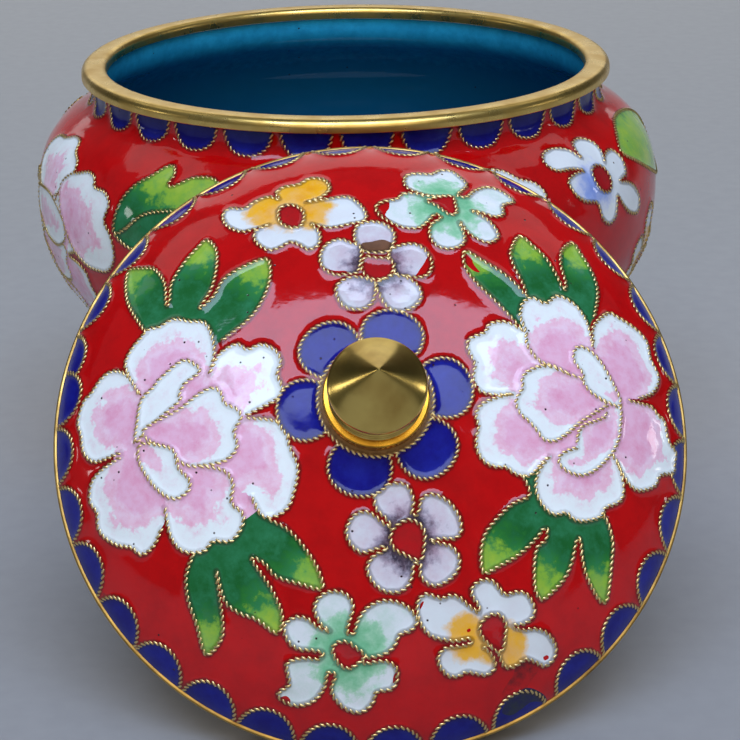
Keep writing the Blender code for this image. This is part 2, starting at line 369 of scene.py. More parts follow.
# %% The peony on the right of the lid
right_peony = [
    open_cell("right_peony", "leaf", joined(
        [(21.0, -10.0), (22.9, -14.4), (20.1, -16.0), (17.5, -18.3), (15.6, -20.7),
         (15.0, -23.2), (15.1, -25.8), (15.9, -26.3), (17.6, -25.4), (20.0, -24.2),
         (22.1, -22.7), (24.0, -20.9), (24.8, -19.9), (25.6, -19.7)],
        [(25.3, -21.4), (24.0, -22.4), (23.5, -24.2), (23.4, -26.7), (23.7, -29.2),
         (24.8, -30.4), (26.8, -29.0), (28.7, -26.9), (29.8, -24.4), (30.3, -22.1),
         (30.8, -21.0)],
        [(31.2, -21.5), (31.5, -23.9), (32.2, -26.4), (33.5, -28.7), (35.2, -30.8),
         (36.5, -30.7), (36.8, -28.0), (37.0, -24.3), (37.1, -21.7), (36.3, -18.9),
         (35.2, -17.0)]), inner=[(33, -12)],
        marks=[(15.1, -25.8), (24.6, -30.4), (35.8, -30.9)]),
    open_cell("right_peony", "leaf", joined(
        [(23.6, 11.5), (20.5, 15.3), (16.7, 19.6), (15.1, 22.7), (15.4, 25.6), (18.0, 24.0),
         (21.2, 21.8), (23.4, 19.6), (24.7, 17.8)],
        [(24.3, 20.2), (23.1, 23.9), (23.1, 26.5), (25.1, 29.8), (27.1, 28.2), (29.1, 25.9),
         (30.4, 23.0), (31.4, 20.1)],
        [(32.0, 21.3), (31.7, 25.1), (32.6, 28.4), (35.1, 30.7), (36.2, 28.7), (37.7, 24.5),
         (37.9, 20.6), (36.4, 15.6)]), inner=[(34, 12), (27, 12)],
        marks=[(15.4, 25.6), (25.1, 29.8), (35.1, 30.7)]),
    patch("right_peony", "ground", [(15.0, 25.2), (15.1, 23.4), (16.4, 22.0), (17.4, 21.8),
                                    (16.6, 23.2), (16.2, 24.6)]),
    Cell("right_peony", "petal", [(24, 10), (33, 13), (41, 2), (38, -8), (30, -11), (22, -9),
                                  (18, 0), (22, 5)]),
    open_cell("right_peony", "petal",
              [(23.2, 14.1), (23.9, 16.5), (25.7, 17.6), (27.8, 16.9), (30.1, 18.5),
               (32.7, 17.6), (34.4, 15.4), (35.1, 12.8), (35.3, 10.0)],
              inner=[(33, 5), (27, 5), (23.5, 10)], marks=[(33.5, 6.0)], hold=9.0, band=3.6),
    open_cell("right_peony", "petal",
              [(35.4, 10.5), (36.0, 13.9), (39.2, 16.9), (41.3, 16.5), (44.7, 15.2),
               (46.9, 13.3), (47.1, 10.1), (48.5, 7.1), (46.7, 4.0), (43.2, 2.2)],
              inner=[(39.4, 1.5), (36, 6)], marks=[(39.0, 3.0)], hold=9.5, band=2.6),
    open_cell("right_peony", "petal",
              [(41.0, 1.6), (43.8, 1.4), (45.9, 1.2), (47.3, 0.0), (48.7, -0.7),
               (49.1, -2.9), (49.8, -4.5), (51.4, -5.7), (51.0, -7.4), (50.5, -9.2),
               (47.0, -10.2), (45.8, -11.9), (42.8, -13.0), (40.8, -12.6), (39.2, -10.9),
               (38.1, -8.9), (37.2, -7.6)], inner=[(37.6, -4), (39.4, 1)],
              marks=[(39.0, -1.0)], hold=10.5, band=2.8),
    open_cell("right_peony", "petal",
              [(26.3, -8.6), (24.6, -10.7), (23.9, -12.7), (24.1, -14.7), (25.4, -16.7),
               (27.0, -17.5), (28.7, -17.2), (29.8, -18.0), (31.2, -18.4), (33.3, -18.1),
               (34.9, -17.5), (35.8, -16.1), (37.5, -15.5), (38.8, -14.6), (39.2, -13.0),
               (38.9, -10.9), (38.1, -8.9), (37.2, -7.6)], inner=[(33, -5), (28, -6)],
              marks=[(32.0, -6.0)], hold=8.5, band=3.2),
    Cell("right_peony", "petal",
         np.array([(23.3, 12.0), (26.0, 7.0), (31.0, 4.6), (28.0, 1.0), (20.7, 0.9),
                   (18.1, 0.7), (15.8, 1.3), (14.9, 3.2), (15.3, 5.6), (14.4, 8.0),
                   (14.8, 9.7), (17.3, 11.0), (18.2, 12.4), (20.8, 12.9)]),
         [curve_through([(23.2, 14.1), (23.9, 11.4), (24.0, 9.0), (25.8, 6.6), (28.4, 5.8),
                         (30.5, 4.8)], False, FINE),
          curve_through([(23.6, 11.6), (20.8, 12.9), (18.2, 12.4), (17.3, 11.0), (14.8, 9.7),
                         (14.4, 8.0), (15.3, 5.6), (14.9, 3.2), (15.8, 1.3), (18.1, 0.7),
                         (20.7, 0.9)], False, FINE)],
         marks=[(27.0, 4.0)], hold=9.0, band=3.2),
    open_cell("right_peony", "petal",
              [(21.1, 1.0), (19.4, 0.6), (17.3, -0.1), (15.8, -1.0), (15.0, -2.5),
               (15.3, -4.3), (14.9, -6.0), (14.9, -7.9), (15.9, -9.6), (17.5, -10.4),
               (19.3, -10.5), (20.6, -11.4), (22.4, -11.8), (23.6, -11.2), (25.1, -9.6),
               (26.3, -8.6)], inner=[(31, -5), (26, 0)], marks=[(26.5, -4.0)], hold=9.0,
              band=3.2),
    closed_cell("right_peony", "petal",
                [(26.8, 5.9), (23.9, 4.9), (22.7, 3.6), (22.6, 2.0), (21.7, 0.6),
                 (21.4, -0.7), (22.1, -2.3), (23.3, -3.3), (24.6, -4.8), (25.5, -6.0),
                 (27.2, -6.2), (29.2, -5.1), (31.3, -3.4), (33.4, -1.9), (36.0, -0.3),
                 (36.8, 0.5), (34.0, 2.2), (33.0, 4.0), (30.5, 4.8)], marks=[(33.5, 2.0)],
                hold=9.0, band=3.4),
    Cell("right_peony", "petal",
         np.array([(36.5, -0.8), (34.8, -2.4), (32.4, -3.4), (31.4, -4.7), (31.1, -6.6),
                   (29.1, -7.7), (27.9, -8.7), (28.1, -10.0), (29.7, -11.0), (31.7, -11.3),
                   (33.8, -10.5), (35.9, -8.8), (37.5, -7.1), (38.6, -5.1), (39.1, -2.9),
                   (39.4, -1.0), (39.2, 0.6)]),
         [curve_through([(36.5, -0.8), (36.4, -1.6), (34.8, -2.4), (32.4, -3.4),
                         (31.4, -4.7), (31.1, -6.3)], False, FINE),
          curve_through([(31.1, -7.0), (29.1, -7.7), (27.9, -8.7), (28.1, -10.0),
                         (29.7, -11.0), (31.7, -11.3), (33.8, -10.5), (35.9, -8.8),
                         (37.5, -7.1), (38.6, -5.1), (39.1, -2.9), (39.4, -1.0),
                         (39.4, 0.7)], False, FINE)], marks=[(35.5, -3.0)], hold=6.0, band=1.8),
    closed_cell("right_peony", "petal",
                [(38.9, 0.3), (36.6, 0.9), (34.3, 2.0), (33.0, 3.5), (32.9, 5.2),
                 (31.6, 7.3), (32.2, 9.4), (34.0, 9.6), (36.1, 8.0), (37.5, 5.8),
                 (38.9, 3.0), (39.5, 1.2)], marks=[(38.5, 1.5)], hold=3.5, band=3.0),
]

# %% [markdown]
# ## Drawing the blossoms
#
# Between the peonies lie six small blossoms, three above the knob and three below it. One wire
# goes all the way round the five lobes of a blossom, and a second one makes the drop at its
# middle, which is filled with red. The lobes are white at their ends, and yellow, green or
# lilac where they meet. The blossom close above the knob has five closed lobes instead, and a
# brown burn on its top one. The yellow ones are yellow in a few places only, so the points
# that the yellow spreads from are listed, and so are the spots where red ran over an edge.

# %% The blossoms of the lid
BLOSSOM_LINES = {
    "yellow_top": ("yellow_blossom", [
        (-14.5, 39.6), (-13.3, 40.9), (-10.8, 41.2), (-8.8, 42.5), (-6.4, 41.7), (-5.6, 39.3),
        (-7.0, 37.4), (-9.6, 36.5), (-7.9, 36.7), (-5.3, 36.9), (-2.5, 36.9), (-0.4, 34.4),
        (-0.1, 31.8), (-2.5, 31.0), (-5.5, 30.4), (-7.6, 31.0), (-8.7, 31.5), (-7.5, 29.5),
        (-7.7, 27.1), (-9.3, 26.3), (-10.9, 27.5), (-12.2, 28.1), (-13.9, 27.2), (-15.8, 27.0),
        (-17.7, 29.0), (-17.8, 31.2), (-15.6, 32.3), (-18.0, 31.7), (-20.4, 31.7),
        (-22.7, 33.6), (-23.5, 36.2), (-22.4, 37.6), (-19.9, 36.9), (-17.9, 38.3),
        (-15.7, 38.9), (-14.0, 37.9)], [
        (-13.2, 36.2), (-11.3, 35.9), (-9.9, 33.9), (-10.4, 31.4), (-12.0, 31.1), (-13.7, 32.4),
        (-14.1, 34.8)]),
    "green_top": ("green_blossom", [
        (14.4, 37.6), (12.7, 37.3), (11.0, 37.3), (9.0, 37.9), (7.2, 39.1), (6.8, 40.7),
        (7.4, 42.4), (9.0, 43.1), (11.6, 43.2), (13.4, 44.6), (15.4, 44.7), (16.9, 42.7),
        (17.4, 40.7), (15.5, 38.0), (17.0, 37.7), (18.7, 39.6), (21.2, 41.2), (23.5, 40.8),
        (25.5, 38.4), (23.3, 36.8), (22.9, 34.4), (21.2, 33.6), (19.5, 34.1), (17.5, 34.5),
        (19.3, 33.3), (20.9, 31.3), (21.3, 29.1), (19.6, 27.7), (17.6, 28.3), (16.1, 29.8),
        (15.1, 31.7), (15.6, 28.9), (15.2, 27.0), (13.1, 25.9), (11.0, 26.4), (10.0, 28.4),
        (10.4, 30.7), (12.2, 32.4), (11.2, 33.0), (9.9, 31.4), (8.3, 30.0), (5.9, 30.0),
        (3.4, 31.5), (2.0, 33.1), (1.8, 34.7), (3.0, 35.7), (5.2, 36.3), (6.3, 37.5),
        (8.2, 37.8), (10.1, 37.2)], [
        (10.2, 36.2), (11.6, 35.1), (13.6, 33.2), (14.8, 33.7), (14.9, 35.6), (14.3, 37.6)]),
    "lilac_low": ("lilac_blossom", [
        (1.6, -19.2), (0.4, -18.6), (-0.8, -17.5), (-2.2, -16.8), (-3.8, -17.2), (-4.9, -18.7),
        (-5.1, -20.2), (-4.3, -21.9), (-2.9, -22.8), (-1.3, -22.5), (0.5, -22.0), (0.5, -22.6),
        (-1.1, -23.3), (-2.1, -24.6), (-2.1, -26.0), (-1.2, -27.5), (0.3, -28.6), (2.2, -28.8),
        (3.7, -28.0), (4.5, -26.3), (4.7, -24.8), (5.7, -24.8), (5.7, -26.4), (6.7, -27.6),
        (8.1, -28.0), (10.0, -27.2), (11.4, -25.7), (11.6, -23.9), (10.6, -22.4), (9.0, -21.8),
        (7.2, -21.4), (9.1, -21.1), (11.0, -21.1), (12.0, -20.1), (11.9, -18.3), (11.0, -16.5),
        (9.6, -15.2), (7.7, -14.5), (6.2, -15.2), (5.8, -16.8), (5.2, -17.6), (4.7, -17.2),
        (5.0, -15.5), (4.5, -13.7), (3.3, -12.8), (1.4, -12.9), (-0.2, -13.7), (-0.8, -15.0),
        (-0.5, -16.6), (0.7, -17.8)], [
        (3.0, -18.6), (4.4, -18.2), (5.7, -18.8), (6.5, -20.1), (6.4, -22.1), (5.9, -24.1),
        (4.7, -24.0), (3.4, -23.3), (2.1, -22.6), (1.4, -21.3), (1.7, -19.7)]),
    "green_low": ("green_blossom", [
        (-8.2, -34.2), (-9.5, -33.1), (-10.3, -31.3), (-10.1, -29.8), (-9.0, -28.7),
        (-7.4, -28.3), (-5.6, -28.8), (-4.6, -30.2), (-4.7, -31.6), (-5.3, -33.2),
        (-5.5, -34.6), (-4.5, -34.6), (-4.0, -33.0), (-2.6, -31.1), (-0.9, -30.2), (0.8, -30.0),
        (2.9, -30.6), (4.4, -31.8), (5.1, -33.3), (4.0, -34.6), (2.4, -35.1), (1.6, -36.7),
        (0.2, -37.9), (-1.8, -38.4), (-3.3, -38.4), (-3.0, -39.3), (-1.2, -39.1), (0.3, -39.1),
        (1.7, -40.1), (1.9, -41.9), (1.0, -43.5), (-1.3, -43.9), (-1.9, -45.5), (-3.2, -46.9),
        (-4.8, -47.2), (-6.6, -46.3), (-8.1, -44.4), (-8.3, -42.8), (-7.6, -41.0),
        (-8.8, -40.6), (-9.4, -42.8), (-11.0, -44.9), (-13.2, -45.8), (-15.3, -45.5),
        (-16.8, -44.3), (-16.4, -43.3), (-14.9, -42.3), (-15.1, -40.1), (-15.0, -38.9),
        (-13.6, -38.3), (-11.7, -38.2), (-10.2, -38.4), (-9.4, -37.5), (-11.1, -37.0),
        (-12.9, -36.8), (-14.3, -35.9), (-15.1, -34.3), (-14.9, -32.8), (-13.2, -31.9),
        (-11.6, -32.2), (-10.0, -33.5)], [
        (-7.2, -36.0), (-5.7, -35.9), (-4.4, -36.8), (-3.0, -38.1), (-3.9, -39.1), (-5.4, -40.0),
        (-6.6, -39.6), (-7.5, -38.4), (-7.9, -37.0)]),
    "yellow_low": ("yellow_blossom", [
        (14.5, -32.1), (12.9, -31.0), (11.5, -29.8), (10.1, -29.5), (9.0, -29.9), (7.8, -29.6),
        (6.5, -29.2), (5.3, -30.1), (5.1, -32.0), (5.8, -34.0), (7.2, -35.5), (9.1, -36.1),
        (11.0, -36.4), (13.2, -36.1), (13.2, -36.9), (11.3, -37.2), (9.4, -37.4), (8.3, -38.6),
        (8.5, -40.2), (9.8, -41.7), (11.4, -41.9), (12.7, -41.3), (14.3, -41.6), (16.0, -41.9),
        (17.3, -40.9), (17.2, -39.6), (16.4, -38.3), (15.4, -37.4), (17.5, -37.8),
        (18.2, -39.5), (19.1, -40.8), (20.7, -40.7), (22.5, -39.7), (24.3, -40.3),
        (25.9, -41.0), (27.4, -39.9), (27.5, -37.8), (25.9, -35.7), (23.8, -34.9),
        (21.6, -35.0), (20.0, -34.3), (22.0, -34.0), (23.4, -32.8), (23.3, -31.1),
        (22.1, -29.5), (20.6, -29.2), (18.7, -29.5), (17.7, -28.5), (16.7, -27.5),
        (15.2, -27.3), (13.7, -28.2), (13.5, -29.5), (14.5, -31.1)], [
        (15.5, -33.1), (16.7, -32.5), (18.0, -32.7), (18.9, -34.1), (18.8, -35.8),
        (18.5, -37.9), (17.5, -38.2), (16.2, -37.0), (15.0, -35.7), (14.7, -34.3)]),
}
LILAC_PETALS = [
    [(-0.6, 25.3), (-1.9, 27.3), (-1.9, 29.4), (-1.1, 30.9), (1.1, 31.3), (3.1, 30.6),
     (4.3, 28.9), (4.0, 26.6), (3.0, 25.2)],
    [(-1.1, 25.9), (-2.6, 27.1), (-4.4, 27.9), (-6.5, 27.0), (-7.5, 24.8), (-7.1, 22.6),
     (-5.3, 21.2), (-3.3, 21.2), (-1.7, 21.7)],
    [(-1.7, 20.6), (-3.8, 20.3), (-5.2, 18.9), (-5.0, 16.8), (-3.8, 15.2), (-1.5, 14.8),
     (0.1, 15.8), (0.8, 17.9), (0.7, 19.5)],
    [(1.1, 19.4), (1.3, 17.6), (2.3, 15.3), (4.2, 14.2), (6.5, 15.0), (7.8, 16.8),
     (7.4, 18.9), (5.9, 20.2), (4.4, 21.0)],
    [(3.2, 24.9), (4.9, 26.3), (7.1, 26.7), (8.8, 25.8), (9.9, 23.2), (9.2, 21.0),
     (7.5, 20.3), (5.7, 20.6), (4.2, 21.0)],
]
LILAC_DROP = [(-0.4, 24.3), (1.1, 24.1), (3.2, 23.8), (3.9, 22.4), (3.0, 20.5), (0.9, 20.0),
              (-0.6, 20.8), (-1.2, 22.5)]


LILAC_BURN = [(-0.9, 27.0), (-0.8, 25.2), (3.1, 25.0), (3.9, 26.6), (2.5, 27.7), (0.6, 27.3)]
YELLOW_MARKS = {
    "yellow_top": [(-12.4, 34.8), (-9.0, 40.0), (-10.5, 38.0), (-15.4, 35.4), (-9.6, 34.6)],
    "yellow_low": [(16.6, -36.0), (13.2, -36.0), (19.4, -38.2)]}
YELLOW_HOLDS = {"yellow_top": 1.5, "yellow_low": 2.1}
RED_SLIPS = {
    "green_top": [[(1.2, 36.2), (3.6, 36.4), (3.9, 34.6), (3.1, 32.9), (4.0, 30.9), (1.5, 32.0)]],
    "lilac_top": [[(7.0, 20.0), (9.6, 20.6), (10.4, 23.0), (9.6, 24.6), (8.6, 23.0), (7.7, 21.6)],
                  [(-7.4, 22.6), (-5.6, 20.8), (-3.4, 21.0), (-3.6, 21.8), (-5.5, 22.0)]],
    "green_low": [[(-16.8, -44.6), (-15.4, -45.5), (-14.9, -45.0), (-15.6, -44.2)],
                  [(1.8, -40.8), (2.1, -42.0), (1.3, -42.6), (1.3, -41.6)]],
    "yellow_low": [[(25.9, -40.1), (26.6, -39.7), (26.2, -39.2), (25.5, -39.6)],
                   [(5.5, -31.5), (5.6, -30.6), (6.2, -30.2), (5.9, -31.0)],
                   [(12.7, -34.8), (13.2, -34.5), (13.4, -34.9), (12.9, -35.2)]],
}


def blossom(group, finish, outline, drop):
    middle = np.mean(drop, axis=0)
    marks, hold = YELLOW_MARKS.get(group, [middle]), YELLOW_HOLDS.get(group, 0.0)
    slips = [patch(group, "ground", line) for line in RED_SLIPS.get(group, [])]
    return [closed_cell(group, finish, outline, marks=marks, hold=hold)] + slips + [
            closed_cell(group, "drop", drop, marks=[middle])]


blossoms = {name: blossom(name, *lines) for name, lines in BLOSSOM_LINES.items()}
lilac_middle = np.mean(LILAC_DROP, axis=0)
blossoms["lilac_top"] = [closed_cell("lilac_top", "lilac_blossom", line, marks=[lilac_middle])
                         for line in LILAC_PETALS]
blossoms["lilac_top"] += [patch("lilac_top", "ground", line) for line in RED_SLIPS["lilac_top"]]
blossoms["lilac_top"].append(patch("lilac_top", "stain", LILAC_BURN))
blossoms["lilac_top"].append(closed_cell("lilac_top", "drop", LILAC_DROP, marks=[lilac_middle]))
print("blossoms of the lid:", len(blossoms))

# %% [markdown]
# ## Borders
#
# A border of cobalt lappets runs round the edge of the lid and round the jar's neck. The lid's
# 32 lappets were set by eye, so their directions are listed one by one, and the last of the
# list sits lower than the others. Those of the jar repeat evenly. The flower round the knob has
# six cobalt petals that come out from under a ring of the same twisted wire, and the enamel
# within that ring is stained brown. Near the lid's lower edge the fire scorched the red and
# left soot on the cobalt.

# %% The lappets and the knob's flower
LID_LAPPETS = [2.4, 12.8, 23.6, 35, 46.5, 58.5, 70, 82, 94, 106, 117.6, 128.6, 140.6, 152.4, 164,
               182.2, 193.4, 204.2, 215.6, 226.4, 237.6, 248.8, 260.2, 271.5, 283, 294.6, 307.4,
               318.6, 330, 341, 351.8, 171.6]
LID_LAPPET_SPAN = 10.3
LID_LAPPET_REACH = 5.5
LID_LAPPET_GAP = 0.3
LOW_LAPPET_DROP = 1.2
JAR_LAPPETS = 29
JAR_LAPPET_SHIFT = 2.1
JAR_LAPPET_REACH = 4.5
JAR_LAPPET_SPAN = 10.4
JAR_LAPPET_GAP = 0.5


def lappet_arch(count=25, power=2.2):
    """A rounded arch from (-1, 0) over (0, 1) to (1, 0)."""
    t = np.sin(np.linspace(-math.pi / 2, math.pi / 2, count))
    return t, (1 - np.abs(t) ** power).clip(0) ** 0.5


def lid_lappets():
    t, rise = lappet_arch()
    made = []
    for middle in LID_LAPPETS:
        angle = np.radians(middle + t * LID_LAPPET_SPAN / 2)
        low = LOW_LAPPET_DROP if middle == LID_LAPPETS[-1] else 0.0
        along = LID_EDGE - LID_LAPPET_GAP - low - LID_LAPPET_REACH * rise
        line = np.stack([along * np.cos(angle), along * np.sin(angle)], axis=1)
        ends = np.stack([np.cos(angle[[-1, 0]]), np.sin(angle[[-1, 0]])], axis=1)
        outline = np.concatenate([line, ends * (LID_EDGE + PAST_EDGE)])
        made.append(Cell("lid_border", "cobalt", outline, [even_steps(line, FINE)]))
    return made


def jar_lappets():
    t, rise = lappet_arch()
    pitch = 2 * JAR_HALF / JAR_LAPPETS
    made = []
    for k in range(JAR_LAPPETS + 1):
        x = JAR_LAPPET_SHIFT + (k - JAR_LAPPETS // 2 - 1) * pitch + t * JAR_LAPPET_SPAN / 2
        y = -JAR_LAPPET_GAP - (JAR_LAPPET_REACH - JAR_LAPPET_GAP) * rise
        line = np.stack([x, y], axis=1)
        outline = np.concatenate([line, [(x[-1], PAST_EDGE), (x[0], PAST_EDGE)]])
        made.append(Cell("jar_neck_border", "cobalt", outline, [even_steps(line, FINE)]))
    return made


KNOB_FLOWER = [(-6.1, 7.7), (2.9, 10.0), (10.2, 1.7), (6.6, -6.8), (-2.5, -9.3), (-10.7, -1.1)]
KNOB_PETAL_MIDDLE = 10.2
KNOB_PETAL_RADIUS = 4.7
KNOB_PETAL_FLARE = 0.12
KNOB_WIRE_RING = 8.7
PAST_EDGE = 1.0


def knob_flower():
    made = []
    for x, y in KNOB_FLOWER:
        angle = math.atan2(y, x)
        t = np.linspace(0, 2 * math.pi, 24, endpoint=False)
        out = KNOB_PETAL_MIDDLE + KNOB_PETAL_RADIUS * np.cos(t)
        side = KNOB_PETAL_RADIUS * np.sin(t) * (1 + KNOB_PETAL_FLARE * np.cos(t))
        line = np.stack([out * math.cos(angle) - side * math.sin(angle),
                         out * math.sin(angle) + side * math.cos(angle)], axis=1)
        made.append(closed_cell("knob_flower", "cobalt", line, marks=[(x, y)]))
    t = np.linspace(0, 2 * math.pi, 40, endpoint=False)
    ring = np.stack([KNOB_WIRE_RING * np.cos(t), KNOB_WIRE_RING * np.sin(t)], axis=1)
    made.append(closed_cell("knob_flower", "stain", ring))
    return made


SCORCHED = [(21.0, -40.6), (23.1, -40.1), (24.9, -41.5), (23.8, -43.5), (22.6, -45.4),
            (20.6, -46.6), (18.9, -45.8), (19.6, -43.8), (20.6, -42.2)]
SOOT = [(20.2, -46.2), (22.0, -44.9), (23.9, -44.7), (26.6, -46.2), (27.6, -47.9), (24.6, -47.6),
        (23.0, -48.8), (21.3, -49.8), (19.4, -48.8)]
lid_cells = ([patch("lid_border", "char", SCORCHED)] + lid_lappets()
             + [patch("lid_border", "soot", SOOT)] + left_peony + right_peony
             + joined(*[blossoms[n] for n in sorted(blossoms)]) + knob_flower())
print("lid cells:", len(lid_cells))

# %% [markdown]
# ## The jar's flowers
#
# The jar carries the same flowers all round: four peonies on the shoulder, blossoms and leaves
# between them, and a lower row of blossoms and leaves. The photograph shows a peony and its
# leaves at the left, and a petal, a blossom and a leaf at the right. The lid hides the front, so
# what is there, below and at the back carries on in the same way. Most of it is the lid's own
# flowers, moved, turned and scaled.

# %% The jar's layout
LEFT_PEONY_MIDDLE = np.array([-31.0, -2.5])
RIGHT_PEONY_MIDDLE = np.array([33.0, 0.0])


def placed(cells, centre, to, group, size=1.0, turn=0.0, mirror=False):
    turned = math.radians(turn)
    return [c.moved(np.array(centre), np.array(to, float), size, turned, mirror, group)
            for c in cells]


def leaf_pair(group, to, size=1.0, turn=0.0):
    """A forked leaf above a dark one, from one stem."""
    vein = [(-8.5, -7.0), (-6.0, -6.0), (-2.0, -2.6), (3.0, -1.2), (8.0, -0.8)]
    pair = [
        closed_cell(group, "leaf", vein + [(9.5, 0.6), (8.6, -2.5), (4.0, -6.5), (-1.0, -9.0),
                                           (-5.0, -9.0)], marks=[(20.0, 0.0)]),
        closed_cell(group, "leaf", vein + [(10.6, 1.2), (11.4, 4.6), (9.4, 6.0), (5.6, 5.5),
                                           (2.6, 3.4), (1.2, 3.6), (1.6, 5.4), (0.6, 7.2),
                                           (-0.9, 7.2), (-3.2, 4.6), (-6.2, 1.8),
                                           (-8.2, -2.4)],
                    marks=[(-0.5, 5.5), (3.5, 4.5), (9.0, 4.0), (7.5, 1.5)]),
    ]
    return placed(pair, (0, 0), to, group, size, turn)


def spot_of(name):
    return np.mean(blossoms[name][-1].outline, axis=0)


def jar_blossom(name, to, group, size=1.0, turn=0.0):
    return placed(blossoms[name], spot_of(name), to, group, size, turn)


SHOULDER_PETALS = [
    closed_cell("jar_peony_1", "petal", [
        (-80, -19), (-81, -15), (-78, -12), (-73.5, -11.2), (-70, -9.8), (-67, -10), (-65, -12),
        (-62, -13.5), (-61.3, -16), (-63.5, -19), (-66, -21), (-70, -22.5), (-76, -22)],
        marks=[(-70, -25)], hold=8.5, band=4.5),
    closed_cell("jar_peony_1", "petal", [
        (-64.5, -19), (-62, -16), (-59, -15), (-56.5, -14.2), (-54, -14.7), (-52.8, -16.3),
        (-49.5, -16.6), (-47.6, -18.5), (-48.2, -21.5), (-46.3, -24), (-45.6, -27.5),
        (-47.5, -30.5), (-51, -31.3), (-54.5, -31), (-58.5, -29), (-62, -24.5)],
        marks=[(-64, -27)], hold=11.5, band=4.5),
    closed_cell("jar_peony_1", "petal", [
        (-79, -22.8), (-74, -21.6), (-69, -21.4), (-64.5, -22.8), (-61.5, -25.2),
        (-61.8, -28.5), (-66, -30.5), (-72, -30), (-78, -27)],
        marks=[(-74, -27)], hold=5.0, band=3.5),
]
SIDE_STAR = [(37.5, -10.3), (39, -8.4), (42, -8.0), (45, -9.0), (47, -11.6), (47, -10.2),
             (48, -8.3), (51, -7.8), (53.5, -9.5), (53.6, -12), (52.4, -14), (54, -12.7),
             (57, -12.5), (58.6, -15), (57.5, -17.5), (54.5, -18.2), (56.5, -18.9), (59, -20.2),
             (61, -23), (60, -25.5), (56.5, -24.6), (54, -22.4), (52.6, -20.4), (51.9, -22),
             (51, -24), (49, -24.7), (47, -23.2), (46, -20.2), (43, -19.2), (41, -17.4),
             (40.5, -15), (43, -14), (45.6, -14), (43, -13), (39, -12.4)]
SIDE_HEART = [(47.5, -14.6), (49.6, -13.8), (51.4, -15), (51.8, -17.4), (50.6, -19), (48.4, -18.6),
              (47.3, -16.8)]
SMALL_PETAL = [(24, -10.5), (25.5, -9.5), (28, -10.5), (30, -12.3), (33, -13.8), (34.3, -16.2),
               (32.5, -18), (28, -17), (24, -14)]
SIDE_LEAF = [(60, -13.7), (64, -10.3), (70, -8.2), (78, -8.8), (86, -12), (91, -17), (88, -22),
             (80, -23.5), (71, -20.5), (64, -16.8)]
jar_cells = joined(
    jar_lappets(),
    placed(left_peony[1:], LEFT_PEONY_MIDDLE, (-72.0, -32.0), "jar_peony_1", 0.98),
    SHOULDER_PETALS,
    leaf_pair("jar_leaves_1", (-37.0, -16.0)),
    placed(right_peony[:1] + right_peony[3:], RIGHT_PEONY_MIDDLE, (17.5, -27.5), "jar_peony_2",
           0.98, -8),
    [closed_cell("jar_blossoms_1", "blue_blossom", SIDE_STAR, marks=[(46.5, -17.5)]),
     closed_cell("jar_blossoms_1", "drop", SIDE_HEART),
     closed_cell("jar_leaves_2", "leaf", SIDE_LEAF,
                 marks=[(61, -13.5), (66, -12), (70, -12), (74, -13), (66, -17), (72, -18),
                        (79, -19), (80, -13), (85, -16)]),
     closed_cell("jar_peony_2", "petal", SMALL_PETAL, marks=[(24, -22)], hold=2.0)],
    placed(left_peony[:1] + left_peony[2:], LEFT_PEONY_MIDDLE, (112.0, -30.0), "jar_peony_3",
           0.98, -170, True),
    leaf_pair("jar_leaves_3", (146.0, -17.0)),
    placed(right_peony, RIGHT_PEONY_MIDDLE, (-151.0, -35.0), "jar_peony_4", 0.92, 172),
    jar_blossom("yellow_top", (-112.0, -18.0), "jar_blossoms_2", 0.95, 30),
    jar_blossom("green_low", (-110.0, -42.0), "jar_blossoms_2", 0.95, -20),
    jar_blossom("lilac_low", (-22.0, -44.0), "jar_blossoms_1", 1.0, 60),
    jar_blossom("yellow_low", (67.0, -37.0), "jar_blossoms_1", 0.95, 100),
    jar_blossom("green_top", (148.0, -42.0), "jar_blossoms_2", 0.95, 10),
    jar_blossom("lilac_low", (167.0, -27.0), "jar_blossoms_2", 0.95, 30),
    leaf_pair("jar_leaves_3", (-168.0, -60.0), 1.0, 200),
    jar_blossom("yellow_low", (-134.0, -61.0), "jar_blossoms_2", 1.0, 70),
    leaf_pair("jar_leaves_1", (-84.0, -63.0), 1.0, 20),
    jar_blossom("green_top", (-44.0, -60.0), "jar_blossoms_1", 1.0, -15),
    leaf_pair("jar_leaves_2", (8.0, -62.0), 1.0, 170),
    jar_blossom("yellow_top", (44.0, -60.0), "jar_blossoms_1", 1.0, 40),
    jar_blossom("lilac_low", (92.0, -62.0), "jar_blossoms_2", 1.0, -30),
    jar_blossom("green_low", (160.0, -63.0), "jar_blossoms_2", 0.9, 15),
)
print("jar cells:", len(jar_cells))

# %% [markdown]
# ## From drawings to a skin of enamel
#
# The skin is one mesh for each shell. Its points are the wires' own points and a fine grid
# between them, joined by a constrained Delaunay triangulation, which keeps every wire as a row
# of edges. So each triangle lies in one cell and takes that cell's enamel. First comes which
# stretches of wire show: a later cell hides the wires under it.

# %% Find what shows of each wire
POINTS_AT_A_TIME = 4000
SHORTEST_STRETCH = 3
LID_MARGIN = 0.3
JAR_WIRE_SIDE, JAR_WIRE_TOP, JAR_WIRE_FOOT = 0.2, 0.3, 1.5


